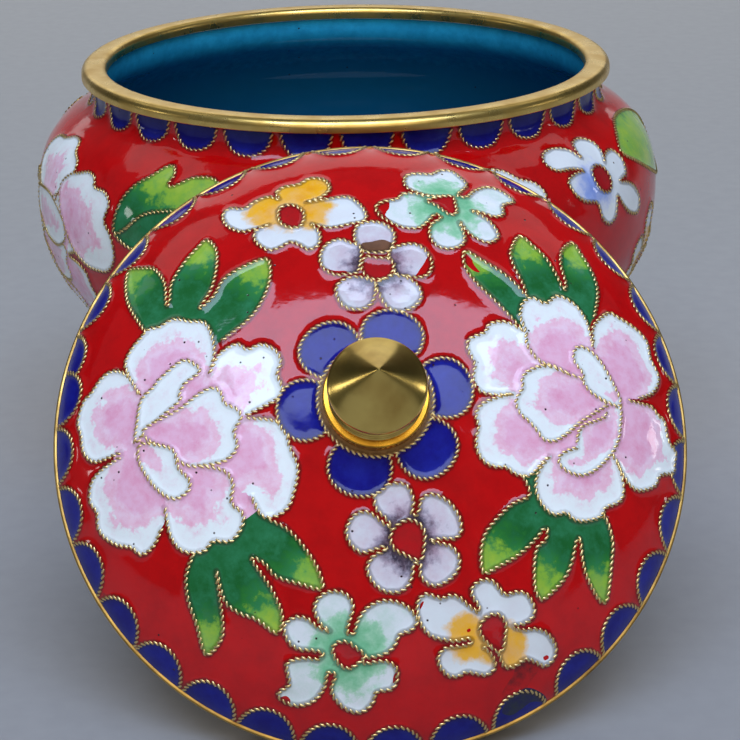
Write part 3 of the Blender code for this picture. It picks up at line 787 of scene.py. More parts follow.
def inside(points, polygon):
    """Which points lie inside a closed polygon."""
    low, high = polygon.min(axis=0), polygon.max(axis=0)
    found = np.zeros(len(points), bool)
    near = np.nonzero(((points > low) & (points < high)).all(axis=1))[0]
    if not len(near):
        return found
    p, q = polygon, np.roll(polygon, -1, axis=0)
    rise = np.where(q[:, 1] == p[:, 1], 1e-12, q[:, 1] - p[:, 1])
    for part in np.array_split(near, max(1, len(near) // POINTS_AT_A_TIME)):
        x, y = points[part, 0][:, None], points[part, 1][:, None]
        crosses = (p[:, 1] > y) != (q[:, 1] > y)
        left = x < (q[:, 0] - p[:, 0]) * (y - p[:, 1]) / rise + p[:, 0]
        found[part] = (crosses & left).sum(axis=1) % 2 == 1
    return found


def visible_wires(cells, keep):
    """(group, line, closed) for each stretch of wire that no later cell covers."""
    runs = []
    for k, cell in enumerate(cells):
        for line in cell.wire:
            shows = keep(line)
            for later in [c for c in cells[k + 1:] if c.wire]:
                if (later.outline.max(axis=0) > line.min(axis=0)).all() and (
                        later.outline.min(axis=0) < line.max(axis=0)).all():
                    shows &= ~inside(line, later.outline)
            if shows.all():
                closed = np.linalg.norm(line[0] - line[-1]) < 1e-6
                runs.append((cell.group, line, closed))
                continue
            edges = np.flatnonzero(np.diff(np.concatenate([[0], shows.astype(int), [0]])))
            for a, b in zip(edges[::2], edges[1::2]):
                stretch = line[max(a - 1, 0):b + 1]
                stretch = stretch[keep(stretch)]
                if len(stretch) > SHORTEST_STRETCH:
                    runs.append((cell.group, stretch, False))
    return runs


lid_wires = visible_wires(lid_cells,
                          lambda p: np.hypot(p[:, 0], p[:, 1]) < LID_EDGE - LID_MARGIN)
jar_wires = visible_wires(jar_cells, lambda p: (np.abs(p[:, 0]) < JAR_HALF - JAR_WIRE_SIDE)
                          & (p[:, 1] < -JAR_WIRE_TOP) & (p[:, 1] > JAR_WIRE_FOOT - JAR_DOWN))
for label, runs in (("lid", lid_wires), ("jar", jar_wires)):
    total = sum(np.linalg.norm(np.diff(line, axis=0), axis=1).sum() for _, line, _ in runs)
    print(label, "has", len(runs), "stretches of wire,", round(total), "mm in all")

# %% [markdown]
# ## One mesh from many outlines
#
# The grid is a triangular lattice, and on the lid it is finer beside the wires, where the
# highlights turn sharply. A cell without a wire keeps its outline as edges too, or its border
# would be ragged. Each point keeps its distance to the nearest wire, and each corner of a
# triangle gets a tone, which says where it lies in its cell's range of colours. The molten
# glass creeps up the wires as it melts, which leaves each cell a little hollow and makes the
# soft highlights beside the gold.

# %% Triangulate a skin
WIRE_STEP = 0.36
WIRE_CUE_STEP = 0.15
CLEAR_OF_WIRE = 0.2
FINE_REACH = 0.8
LATTICE_ROW = 0.866
HEART_FADE = 8
LEAF_FADE = 12
BLOSSOM_FADE = 10
ENAMEL_DEPTH = 0.34
MENISCUS = 0.24
MENISCUS_REACH = 0.62
WAVE = 0.045
WAVE_LENGTH = 7.0


def tree_of(points):
    tree = kdtree.KDTree(len(points))
    for k, p in enumerate(points):
        tree.insert((p[0], p[1], 0.0), k)
    tree.balance()
    return tree


def distance_to(tree, points):
    return np.array([tree.find((p[0], p[1], 0.0))[2] for p in points])


def grid_points(low, high, step):
    """Points of a triangular lattice, so that no direction stands out."""
    rows = np.arange(low[1], high[1], step * LATTICE_ROW)
    parts = []
    for k, y in enumerate(rows):
        x = np.arange(low[0] + (k % 2) * step / 2, high[0], step)
        parts.append(np.stack([x, np.full(len(x), y)], axis=1))
    return np.concatenate(parts)


def cell_tones(cell, points):
    """A number from 0 for each point, that the cell's enamel takes its colour from."""
    apart = np.linalg.norm(points[:, None, :] - cell.marks[None], axis=2).min(axis=1)
    if cell.finish == "petal" and not cell.wire:
        return np.ones(len(points))
    if cell.finish == "petal":
        line = np.concatenate(cell.wire)
        edge = distance_to(tree_of(line), points)
        return edge / cell.band / 2 + (cell.hold - apart).clip(0) / HEART_FADE
    if cell.finish == "leaf":
        return apart / LEAF_FADE
    return (apart + cell.hold) / BLOSSOM_FADE


def triangulate(cells, runs, border, keep, step, fine=None):
    """The flat skin: its points, triangles, the cell of each triangle, and wire distances."""
    points, edges = [border], []
    start = len(border)
    for _, line, closed in runs:
        coarse = even_steps(line, WIRE_STEP)
        if closed:
            coarse = coarse[:-1]
        ids = np.arange(start, start + len(coarse))
        edges += list(zip(ids[:-1], ids[1:]))
        if closed:
            edges.append((ids[-1], ids[0]))
        points.append(coarse)
        start += len(coarse)
    for cell in cells:
        if not cell.wire:
            whole = np.concatenate([cell.outline, cell.outline[:1]])
            coarse = even_steps(whole, WIRE_STEP)[:-1]
            ids = np.arange(start, start + len(coarse))
            edges += list(zip(ids, np.roll(ids, -1)))
            points.append(coarse)
            start += len(coarse)
    wire_tree = tree_of(np.concatenate([even_steps(line, WIRE_CUE_STEP)
                                        for _, line, _ in runs]))
    grid = grid_points(border.min(axis=0), border.max(axis=0), step)
    grid = grid[keep(grid)]
    near = distance_to(wire_tree, grid)
    grid = grid[near > (FINE_REACH if fine else CLEAR_OF_WIRE)]
    if fine:
        close = grid_points(border.min(axis=0), border.max(axis=0), fine)
        close = close[keep(close)]
        near = distance_to(wire_tree, close)
        points.append(close[(near > CLEAR_OF_WIRE) & (near <= FINE_REACH)])
    points.append(grid)
    flat = [Vector(p) for p in np.concatenate(points)]
    edges = [(int(a), int(b)) for a, b in edges]
    out = delaunay_2d_cdt(flat, edges, [], 0, 1e-6, False)
    verts = np.array([tuple(v) for v in out[0]])
    faces = np.array(out[2])
    middle = verts[faces].mean(axis=1)
    owner = np.full(len(faces), -1)
    for k, cell in enumerate(cells):
        owner[inside(middle, cell.outline)] = k
    return verts, faces, owner, distance_to(wire_tree, verts)


def waves(points, length):
    """A gentle unevenness, from -1 to 1, of hand-filled enamel."""
    scaled = points / MM / length
    return np.array([noise.noise(Vector(p)) for p in scaled])


# %% [markdown]
# ## A closed shell
#
# The copper is enamelled on its inside too, in plain turquoise, which keeps it from warping in
# the kiln. So each shell is closed: the skin carries on over its edge as rings of plain faces
# that follow the inside to a pole on the axis. The turquoise of the inside darkens with depth
# below the top of the shell, which is painted shade.

# %% Build a shell with its skin outside and plain enamel inside
INSIDE_SHADE_FADE = 25
FAR_FROM_WIRE = 3.0
RING_STEP = 2.0
FINISHES = ["ground", "cobalt", "petal", "leaf", "yellow_blossom", "green_blossom",
            "lilac_blossom", "blue_blossom", "drop", "stain", "char", "soot", "counter"]


def add_rings(verts, faces, loop, profile, pole):
    """Carries a loop of points on through (radius, height) rings, to a pole on the axis."""
    angles = np.arctan2(verts[loop][:, 1], verts[loop][:, 0])
    circle = np.stack([np.cos(angles), np.sin(angles)], axis=1)
    rings, extra = [np.array(loop)], []
    count = len(verts)
    for r, z in profile:
        extra.append(np.column_stack([circle * r * MM, np.full(len(loop), z * MM)]))
        rings.append(np.arange(count, count + len(loop)))
        count += len(loop)
    extra.append(np.array([[0.0, 0.0, pole * MM]]))
    for a, b in zip(rings[:-1], rings[1:]):
        for i in range(len(loop)):
            j = (i + 1) % len(loop)
            faces.append((int(a[i]), int(a[j]), int(b[j]), int(b[i])))
    last = rings[-1]
    for i in range(len(loop)):
        faces.append((int(last[i]), int(last[(i + 1) % len(loop)]), count))
    return np.concatenate([verts] + extra)


def new_piece(name, verts, faces, place, smooth_angle=50):
    """A mesh piece in its place, riding on the one body."""
    mesh = bpy.data.meshes.new(name)
    mesh.from_pydata([tuple(v) for v in verts], [], faces)
    mesh.polygons.foreach_set("use_smooth", [True] * len(mesh.polygons))
    height = mesh.attributes.new("height", "FLOAT", "POINT")
    height.data.foreach_set("value", np.array([v[2] for v in verts], np.float32))
    mesh.transform(place)
    mesh.set_sharp_from_angle(angle=math.radians(smooth_angle))
    piece = bpy.data.objects.new(name, mesh)
    bpy.context.scene.collection.objects.link(piece)
    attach(piece, "root")
    return piece


def enamel_shell(name, cells, flat, verts, plain_faces, place):
    """Joins the carried skin and the plain rest of the shell, and tells each face its enamel."""
    flat_verts, flat_faces, owner, _ = flat
    order = [FINISHES.index(cells[k].finish) if k >= 0 else 0 for k in owner]
    order += [FINISHES.index("counter")] * len(plain_faces)
    faces = [tuple(int(i) for i in f) for f in flat_faces] + plain_faces
    piece = new_piece(name, verts, faces, place)
    mesh = piece.data
    mesh.polygons.foreach_set("material_index", order)
    tones = np.zeros(len(mesh.loops), np.float32)
    corner_verts = flat_faces.ravel()
    corner_owner = np.repeat(owner, 3)
    for k, cell in enumerate(cells):
        mine = np.nonzero(corner_owner == k)[0]
        if len(mine):
            used, back = np.unique(corner_verts[mine], return_inverse=True)
            tones[mine] = cell_tones(cell, flat_verts[used])[back]
    corners = np.zeros(len(mesh.loops), np.int32)
    mesh.loops.foreach_get("vertex_index", corners)
    heights = np.array(verts)[:, 2] / MM
    plain = 3 * len(flat_faces)
    # Painted shade: the inside's tone grows, and its turquoise darkens, with depth below the top of
    # the shell.
    tones[plain:] = ((heights.max() - heights) / INSIDE_SHADE_FADE)[corners[plain:]]
    tone = mesh.attributes.new("tone", "FLOAT", "CORNER")
    tone.data.foreach_set("value", tones)
    return piece


def set_edge_distance(piece, near):
    values = np.full(len(piece.data.vertices), FAR_FROM_WIRE, np.float32)
    values[:len(near)] = np.minimum(near, FAR_FROM_WIRE)
    edge = piece.data.attributes.new("edge", "FLOAT", "POINT")
    edge.data.foreach_set("value", values)


def skin_lift(surface, flat_verts, near, calm):
    """How far each point of the skin is from the solid's surface, in mm."""
    lift = -ENAMEL_DEPTH + MENISCUS * np.exp(-(near / MENISCUS_REACH) ** 2)
    wave = WAVE * waves(surface.carry(flat_verts), WAVE_LENGTH)
    return np.where(calm, -ENAMEL_DEPTH, lift + wave)


# %% [markdown]
# The lid's skin ends at its rim, and the rings carry it on as the hollow underside.

# %% The lid's shell
LID_GRID = 0.62
LID_FINE_GRID = 0.36
LID_BORDER_POINTS = 420
ON_EDGE = 0.01
LID_INSIDE_TOP = 19.0
LID_UNDERSIDE = [(48.9, 1.1), (47.7, 1.1), (46.6, 3.3), (43.0, 6.9), (37.3, 10.6), (29.8, 14.0),
                 (20.7, 16.7), (10.6, 18.4), (4.0, 18.9)]
turn = np.linspace(0, 2 * math.pi, LID_BORDER_POINTS, endpoint=False)
lid_border = LID_EDGE * np.stack([np.cos(turn), np.sin(turn)], axis=1)
lid_flat = triangulate(lid_cells, lid_wires, lid_border,
                       lambda p: np.hypot(p[:, 0], p[:, 1]) < LID_EDGE - LID_MARGIN, LID_GRID,
                       LID_FINE_GRID)
along = np.hypot(lid_flat[0][:, 0], lid_flat[0][:, 1])
on_border = along > LID_EDGE - ON_EDGE
lid_verts = lid_top.carry(lid_flat[0], skin_lift(lid_top, lid_flat[0], lid_flat[3], on_border))
loop = np.nonzero(on_border)[0]
loop = loop[np.argsort(np.arctan2(lid_verts[loop, 1], lid_verts[loop, 0]))]
inner_faces = []
underside = curve_through(LID_UNDERSIDE, False, RING_STEP)
lid_all = add_rings(lid_verts, inner_faces, loop, underside, LID_INSIDE_TOP)
inner_faces = [f[::-1] for f in inner_faces]
lid_shell = enamel_shell("lid_enamel", lid_cells, lid_flat, lid_all, inner_faces, LID_PLACE)
set_edge_distance(lid_shell, lid_flat[3])
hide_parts("lid_dome")
print("lid shell:", len(lid_shell.data.polygons), "faces")

# %% [markdown]
# The jar's skin is a long flat strip whose two ends meet at the back, so the points of one end
# take the place of the other's. Rings carry it on into the inside from its top, and under the
# base from its foot.

# %% The jar's shell
JAR_GRID = 0.86
JAR_BORDER_POINTS = 420
JAR_SIDE_POINTS = 121
JAR_MARGIN = 0.4
JAR_FLOOR = 6.3
JAR_BASE = 4.3
JAR_INSIDE = [(46.2, 78.0), (46.2, 76.5), (46.2, 75.5), (46.6, 73.6), (48.1, 72.0), (51.5, 69.7),
              (54.5, 66.8), (56.8, 62.7), (57.7, 56.5), (57.3, 50.7), (56.3, 46.4), (54.4, 42.7),
              (51.8, 38.6), (48.2, 33.5), (43.7, 26.7), (38.4, 17.5), (33.8, 8.3),
              (31.8, JAR_FLOOR), (20.0, JAR_FLOOR), (8.0, JAR_FLOOR)]
round_x = np.linspace(-JAR_HALF, JAR_HALF, JAR_BORDER_POINTS + 1)
side_y = np.linspace(0, -JAR_DOWN, JAR_SIDE_POINTS)
jar_border = np.concatenate([
    np.stack([round_x, np.zeros(len(round_x))], axis=1),
    np.stack([round_x, np.full(len(round_x), -JAR_DOWN)], axis=1),
    np.stack([np.full(JAR_SIDE_POINTS - 2, -JAR_HALF), side_y[1:-1]], axis=1),
    np.stack([np.full(JAR_SIDE_POINTS - 2, JAR_HALF), side_y[1:-1]], axis=1)])
jar_flat = triangulate(
    jar_cells, jar_wires, jar_border,
    lambda p: (np.abs(p[:, 0]) < JAR_HALF - JAR_MARGIN) & (p[:, 1] < -JAR_MARGIN)
    & (p[:, 1] > JAR_MARGIN - JAR_DOWN), JAR_GRID)


def close_seam(flat):
    """Makes the points of the right-hand edge the same as those of the left-hand one."""
    verts, faces, owner, near = flat
    right = np.nonzero(verts[:, 0] > JAR_HALF - 1e-4)[0]
    left = np.nonzero(verts[:, 0] < 1e-4 - JAR_HALF)[0]
    right = right[np.argsort(verts[right, 1])]
    left = left[np.argsort(verts[left, 1])]
    swap = np.arange(len(verts))
    swap[right] = left
    faces = swap[faces]
    used, fresh = np.unique(faces, return_inverse=True)
    return verts[used], fresh.reshape(faces.shape), owner, near[used]


jar_flat = close_seam(jar_flat)
flat_y = jar_flat[0][:, 1]
at_top, at_foot = flat_y > -ON_EDGE, flat_y < ON_EDGE - JAR_DOWN
jar_verts = jar_side.carry(jar_flat[0], skin_lift(jar_side, jar_flat[0], jar_flat[3],
                                                  at_top | at_foot))
plain_faces = []


def sorted_loop(chosen):
    ids = np.nonzero(chosen)[0]
    return ids[np.argsort(np.arctan2(jar_verts[ids, 1], jar_verts[ids, 0]))]


top_loop, foot_loop = sorted_loop(at_top), sorted_loop(at_foot)
inside_line = curve_through(JAR_INSIDE, False, RING_STEP)
jar_all = add_rings(jar_verts, plain_faces, top_loop, inside_line, JAR_FLOOR)
base_faces = []
jar_all = add_rings(jar_all, base_faces, foot_loop,
                    [(28.0, JAR_BASE), (18.0, JAR_BASE), (8.0, JAR_BASE)], JAR_BASE)
plain_faces += [f[::-1] for f in base_faces]
jar_shell = enamel_shell("jar_enamel", jar_cells, jar_flat, jar_all, plain_faces, JAR_PLACE)
set_edge_distance(jar_shell, jar_flat[3])
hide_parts("jar_body")
print("jar shell:", len(jar_shell.data.polygons), "faces")

# %% [markdown]
# ## Twisted wire
#
# Two thin brass wires are twisted together like a cord and gilded. Bent on edge, the pair shows
# as a row of slanting bright beads just under a millimetre apart, which is half of the length
# that a strand takes for one turn. Each strand is made as its own thin tube that winds round
# the drawn line, because a bump on one fat tube would lose the notched outline that the real
# cord has. The low side of each strand gets painted shade, and the notch between the two gets
# painted shade with the oxide and dirt that stay there, as one number for the material.

# %% Wind the wires
WIRE_PITCH = 1.85
STRAND_RADIUS = 0.225
STRAND_OFFSET = 0.205
WIRE_DEPTH = 0.36
LINE_STEP = 0.1
SHADED_SIDE_SHARE = 0.3
NOTCH_SHADE_AND_OXIDE_SHARE = 0.65


def unit(v):
    return v / np.maximum(np.linalg.norm(v, axis=1), 1e-12)[:, None]


def wind(line, up, closed, per_turn, sides):
    """Two strands round a line: points, faces and the painted shade of each point, from 0 to 1,
    from how low it lies and how deep it sits in the notch.
    """
    steps = np.linalg.norm(np.diff(line, axis=0), axis=1)
    arc = np.concatenate([[0.0], np.cumsum(steps)])
    turns = max(1, round(arc[-1] / (WIRE_PITCH * MM)))
    count = max(8, turns * per_turn)
    at = np.linspace(0, arc[-1], count + 1)
    if closed:
        at = at[:-1]
    centre = np.stack([np.interp(at, arc, line[:, k]) for k in range(3)], axis=1)
    high = unit(np.stack([np.interp(at, arc, up[:, k]) for k in range(3)], axis=1))

    def heading(points):
        if closed:
            return unit(np.roll(points, -1, axis=0) - np.roll(points, 1, axis=0))
        return unit(np.gradient(points, axis=0))

    side = unit(np.cross(high, heading(centre)))
    phase = 2 * math.pi * turns * at / arc[-1]
    verts, faces, between = [], [], []
    for strand in (0, 1):
        spin = phase + math.pi * strand
        offset = side * np.cos(spin)[:, None] + high * np.sin(spin)[:, None]
        core = centre + offset * STRAND_OFFSET * MM
        ahead = heading(core)
        across = unit(np.cross(ahead, offset))
        out = np.cross(across, ahead)
        base = strand * len(at) * sides
        for k in range(sides):
            a = 2 * math.pi * k / sides
            verts.append(core + (out * math.cos(a) + across * math.sin(a)) * STRAND_RADIUS * MM)
            between.append(np.full(len(at), 0.5 - 0.5 * math.cos(a)))
        rows = len(at) if closed else len(at) - 1
        i = np.arange(rows)
        j = (i + 1) % len(at)
        for k in range(sides):
            m = (k + 1) % sides
            faces.append(np.stack([base + k * len(at) + i, base + m * len(at) + i,
                                   base + m * len(at) + j, base + k * len(at) + j], axis=1))
    points = np.concatenate(verts)
    reach = (STRAND_OFFSET + STRAND_RADIUS) * MM
    # Painted shade: the low side of each strand and, with some oxide, the notch between the strands
    # get a higher number.
    above = ((points - np.tile(centre, (2 * sides, 1))) * np.tile(high, (2 * sides, 1))).sum(1)
    low = (0.5 - 0.5 * above / reach).clip(0, 1)
    low = (SHADED_SIDE_SHARE * low + NOTCH_SHADE_AND_OXIDE_SHARE * np.concatenate(between)).clip(0, 1)
    return points, np.concatenate(faces), low


def wire_piece(name, surface, runs, place, per_turn, sides):
    verts, faces, shade_and_oxide_values, start = [], [], [], 0
    for _, line, closed in runs:
        fine = even_steps(line, LINE_STEP)
        points, quads, low = wind(surface.carry(fine, -WIRE_DEPTH), surface.normals(fine),
                                  closed, per_turn, sides)
        verts.append(points)
        faces.append(quads + start)
        shade_and_oxide_values.append(low)
        start += len(points)
    quads = np.concatenate(faces)
    piece = new_piece(name, np.concatenate(verts), quads.tolist(), place, 180)
    # The low attribute is the wire's painted shade, with some oxide in the notches.
    soot = piece.data.attributes.new("low", "FLOAT", "POINT")
    soot.data.foreach_set("value", np.concatenate(shade_and_oxide_values).astype(np.float32))
    print(name, len(quads) * 2, "triangles")
    return piece


LID_WIRES = {"lid_wire_peonies": ["left_peony", "right_peony"],
             "lid_wire_blossoms": list(blossoms),
             "lid_wire_borders": ["lid_border", "knob_flower"]}
JAR_WIRES = {"jar_wire_peonies": ["jar_peony_%d" % k for k in (1, 2, 3, 4)],
             "jar_wire_blossoms": ["jar_blossoms_1", "jar_blossoms_2", "jar_leaves_1",
                                   "jar_leaves_2", "jar_leaves_3"],
             "jar_wire_neck": ["jar_neck_border"]}
LID_WINDING = (11, 5)
JAR_WINDING = (9, 4)
wire_pieces = []
for pieces, surface, wires, place, winding in (
        (LID_WIRES, lid_top, lid_wires, LID_PLACE, LID_WINDING),
        (JAR_WIRES, jar_side, jar_wires, JAR_PLACE, JAR_WINDING)):
    for name, groups in pieces.items():
        chosen = [run for run in wires if run[0] in groups]
        wire_pieces.append(wire_piece(name, surface, chosen, place, *winding))

# %% [markdown]
# ## Turned brass
#
# The mouth ring, the foot ring, the lid's rim, the collar and the knob were turned on a lathe.
# Each is an outline swept round the axis, with the rounding and the tool grooves in the
# outline, so that they catch the light.

# %% Turn the brass pieces
def turned_piece(name, outline, place, node, steps=240, smooth_angle=35):
    """A closed outline of (radius, height) in mm, swept round the axis."""
    points = np.array(outline, float)
    turn = np.linspace(0, 2 * math.pi, steps, endpoint=False)
    verts, rows = [], []
    for r, z in points:
        if r < 1e-6:
            rows.append([len(verts)] * steps)
            verts.append((0.0, 0.0, z * MM))
        else:
            rows.append(list(range(len(verts), len(verts) + steps)))
            verts += [(r * MM * math.cos(a), r * MM * math.sin(a), z * MM) for a in turn]
    faces = []
    ends = len(rows) if points[0][0] > 1e-6 else len(rows) - 1
    for k in range(ends):
        a, b = rows[k], rows[(k + 1) % len(rows)]
        for i in range(steps):
            j = (i + 1) % steps
            quad = [a[i], a[j], b[j], b[i]]
            face = [v for n, v in enumerate(quad) if v not in quad[:n]]
            if len(face) > 2:
                faces.append(tuple(face))
    piece = new_piece(name, verts, faces, place, smooth_angle)
    work = bmesh.new()
    work.from_mesh(piece.data)
    bmesh.ops.recalc_face_normals(work, faces=work.faces)
    work.to_mesh(piece.data)
    work.free()
    piece.data.set_sharp_from_angle(angle=math.radians(smooth_angle))
    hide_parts(node)
    print(name, len(faces), "faces")
    return piece


def rounded(corner_r, corner_z, radius, start, end, count=7):
    """Points of a rounded corner about its centre, from one angle to another in degrees."""
    return [(corner_r + radius * math.cos(math.radians(a)),
             corner_z + radius * math.sin(math.radians(a)))
            for a in np.linspace(start, end, count)]


mouth_ring = turned_piece("mouth_ring", joined(
    [(45.3, 78.4), (45.4, 78.3), (49.9, 78.3), (50.0, 78.4)],
    rounded(48.6, 79.1, 1.4, 0, 90, 9), rounded(46.4, 79.4, 1.1, 90, 180, 9)),
    JAR_PLACE, "jar_mouth_ring")
foot_ring = turned_piece("foot_ring", joined(
    [(31.7, 4.0), (31.7, 0.6)], rounded(32.3, 0.6, 0.6, 180, 270, 5),
    rounded(33.9, 0.6, 0.6, 270, 360, 5), [(34.5, 4.0)]), JAR_PLACE, "jar_foot_ring")
lid_edge_ring = turned_piece("lid_rim_ring", joined(
    [(43.2, -6.5), (44.1, -6.5), (44.6, -6.0), (44.6, 0.0)],
    rounded(49.7, 0.3, 0.3, 270, 360, 5), rounded(49.7, 0.5, 0.3, 0, 90, 5), [(43.2, 0.8)]),
    LID_PLACE, "lid_rim")
collar = turned_piece("knob_collar", joined(
    [(0.0, 21.35), (5.3, 21.1), (7.9, 21.0)], rounded(7.7, 22.6, 0.3, 0, 90, 4),
    [(0.0, 22.9)]), LID_PLACE, "finial_collar")
knob = turned_piece("knob", joined(
    [(0.0, 23.2), (6.9, 23.2), (7.15, 23.35), (7.15, 23.8), (6.95, 23.95), (6.95, 24.15),
     (6.8, 24.25), (6.8, 24.5), (6.6, 24.65), (6.5, 25.3), (6.55, 25.9), (6.8, 26.6)],
    rounded(6.6, 27.75, 0.8, -60, 38, 9), [(6.9, 28.5), (5.0, 30.45), (3.0, 32.5), (1.0, 34.58),
                                           (0.35, 35.3), (0.12, 35.52), (0.0, 35.57)]),
    LID_PLACE, "finial_knob")

# %% [markdown]
# ## Colours and nodes
#
# Colours are written as they look on a screen, as sRGB hex, and one function turns them into
# the linear values that Blender's shaders work with. One small function adds a node with its
# settings and links.

# %% Helpers for the materials
def linear(code):
    """An sRGB hex colour as linear red, green, blue and 1."""
    parts = [int(code[k:k + 2], 16) / 255 for k in (1, 3, 5)]
    return [c / 12.92 if c <= 0.04045 else ((c + 0.055) / 1.055) ** 2.4 for c in parts] + [1.0]


def add_node(tree, kind, sockets=None, stops=None, **settings):
    """Adds a shader node. A socket's value may be a number, a colour or another node's output."""
    made = tree.nodes.new("ShaderNode" + kind)
    for name, value in settings.items():
        setattr(made, name, value)
    for name, value in (sockets or {}).items():
        if isinstance(value, bpy.types.NodeSocket):
            tree.links.new(value, made.inputs[name])
        else:
            made.inputs[name].default_value = value
    if stops:
        ramp = made.color_ramp.elements
        while len(ramp) < len(stops):
            ramp.new(1.0)
        for element, (position, _) in zip(ramp, sorted(stops)):
            element.position = position
        for element, (_, colour) in zip(ramp, sorted(stops)):
            element.color = linear(colour)
    return made


def new_material(name):
    made = bpy.data.materials.new(name)
    made.use_nodes = True
    made.node_tree.nodes.clear()
    return made, made.node_tree


def per_mm(size):
    """The scale of a pattern whose marks are this many millimetres apart, in object metres."""
    return 1000.0 / size


# %% [markdown]
# ## Enamel
#
# Enamel is powdered glass, fused at about 800 degrees. It is smooth and very glossy, with an
# index of refraction near 1.5. Its colour comes from metal oxides and it is not even: powder
# of two colours mixes in a ragged, grainy line, and gas leaves pits like pin pricks. Beside the
# wires the colour darkens in an uneven line, which is painted shade with some oxide and dirt.
# Roughness is low, and the pits and the slightly wavy surface are real depth, so they go to the
# normal as bump. Each finish below is the same glass with its own colours and faults. Cobalt
# shines less than the rest, a peony's pink cloud stays off its white rim, and three finishes
# are enamel that the fire has burnt.

# %% The enamels
PIT_SPACING = 2.1
PIT_DEPTH = 0.08
RIPPLE_LENGTH = 1.6
RIPPLE_DEPTH = 0.018
PIT_DARK, WIRE_SHADE_AND_OXIDE = "#2A1216", "#2B1410"


def enamel(name, stops, ragged=0.12, grain=1.6, cloud=("#000000", 0.12), patch=6.0, pits=0.35,
           roughness=0.07, dull=0.5, shine=0.5, white_rim=False):
    """Glass enamel whose colour runs through stops as its tone number grows."""
    made, tree = new_material(name)
    place = add_node(tree, "TexCoord").outputs["Object"]
    tone = add_node(tree, "Attribute", attribute_name="tone").outputs["Fac"]
    edge = add_node(tree, "Attribute", attribute_name="edge").outputs["Fac"]
    rough_line = add_node(tree, "TexNoise", {"Vector": place, "Scale": per_mm(grain),
                                             "Detail": 5.0, "Roughness": 0.62})
    shifted = add_node(tree, "MapRange", {"Value": rough_line.outputs["Fac"], "From Min": 0.3,
                                          "From Max": 0.7, "To Min": -ragged,
                                          "To Max": ragged}).outputs["Result"]
    mixed_tone = add_node(tree, "Math", {0: tone, 1: shifted}, operation="ADD")
    ramp = add_node(tree, "ValToRGB", {"Fac": mixed_tone.outputs[0]}, stops=stops)
    drift = add_node(tree, "TexNoise", {"Vector": place, "Scale": per_mm(patch), "Detail": 6.0,
                                         "Roughness": 0.7})
    drift_share = add_node(tree, "MapRange", {"Value": drift.outputs["Fac"], "From Min": 0.42,
                                              "From Max": 0.72, "To Min": 0.0,
                                              "To Max": cloud[1]}).outputs["Result"]
    if white_rim:
        past_rim = add_node(tree, "MapRange", {"Value": mixed_tone.outputs[0], "From Min": 0.15,
                                               "From Max": 0.6}).outputs["Result"]
        drift_share = add_node(tree, "Math", {0: drift_share, 1: past_rim},
                               operation="MULTIPLY").outputs[0]
    clouded = add_node(tree, "Mix", {0: drift_share, 6: ramp.outputs["Color"],
                                     7: linear(cloud[0])}, data_type="RGBA").outputs[2]
    pit = add_node(tree, "TexVoronoi", {"Vector": place, "Scale": per_mm(PIT_SPACING)})
    pit_spot = add_node(tree, "MapRange", {"Value": pit.outputs["Distance"], "From Min": 0.06,
                                           "From Max": 0.11, "To Min": 1.0, "To Max": 0.0})
    chosen = add_node(tree, "SeparateColor", {0: pit.outputs["Color"]}).outputs[0]
    some = add_node(tree, "Math", {0: chosen, 1: pits}, operation="LESS_THAN").outputs[0]
    pit_share = add_node(tree, "Math", {0: pit_spot.outputs["Result"], 1: some},
                         operation="MULTIPLY").outputs[0]
    pitted = add_node(tree, "Mix", {0: pit_share, 6: clouded, 7: linear(PIT_DARK)},
                      data_type="RGBA").outputs[2]
    # Painted shade with some oxide and dirt: an uneven dark line in the enamel beside each wire.
    uneven = add_node(tree, "Math", {0: rough_line.outputs["Fac"], 1: -0.7, 2: edge},
                      operation="MULTIPLY_ADD").outputs[0]
    beside = add_node(tree, "MapRange", {"Value": uneven, "From Min": 0.05, "From Max": 0.33,
                                         "To Min": dull, "To Max": 0.0}).outputs["Result"]
    colour = add_node(tree, "Mix", {0: beside, 6: pitted, 7: linear(WIRE_SHADE_AND_OXIDE)},
                      data_type="RGBA").outputs[2]
    ripple = add_node(tree, "TexNoise", {"Vector": place, "Scale": per_mm(RIPPLE_LENGTH),
                                         "Detail": 2.0})
    rippled = add_node(tree, "Bump", {"Height": ripple.outputs["Fac"], "Strength": 1.0,
                                      "Distance": RIPPLE_DEPTH * MM})
    bump = add_node(tree, "Bump", {"Height": pit_share, "Strength": 0.5, "Distance": PIT_DEPTH * MM,
                                   "Normal": rippled.outputs["Normal"]}, invert=True)
    glass = add_node(tree, "BsdfPrincipled", {
        "Base Color": colour, "Roughness": roughness, "IOR": 1.52, "Specular IOR Level": shine,
        "Normal": bump.outputs["Normal"]})
    add_node(tree, "OutputMaterial", {"Surface": glass.outputs["BSDF"]})
    return made


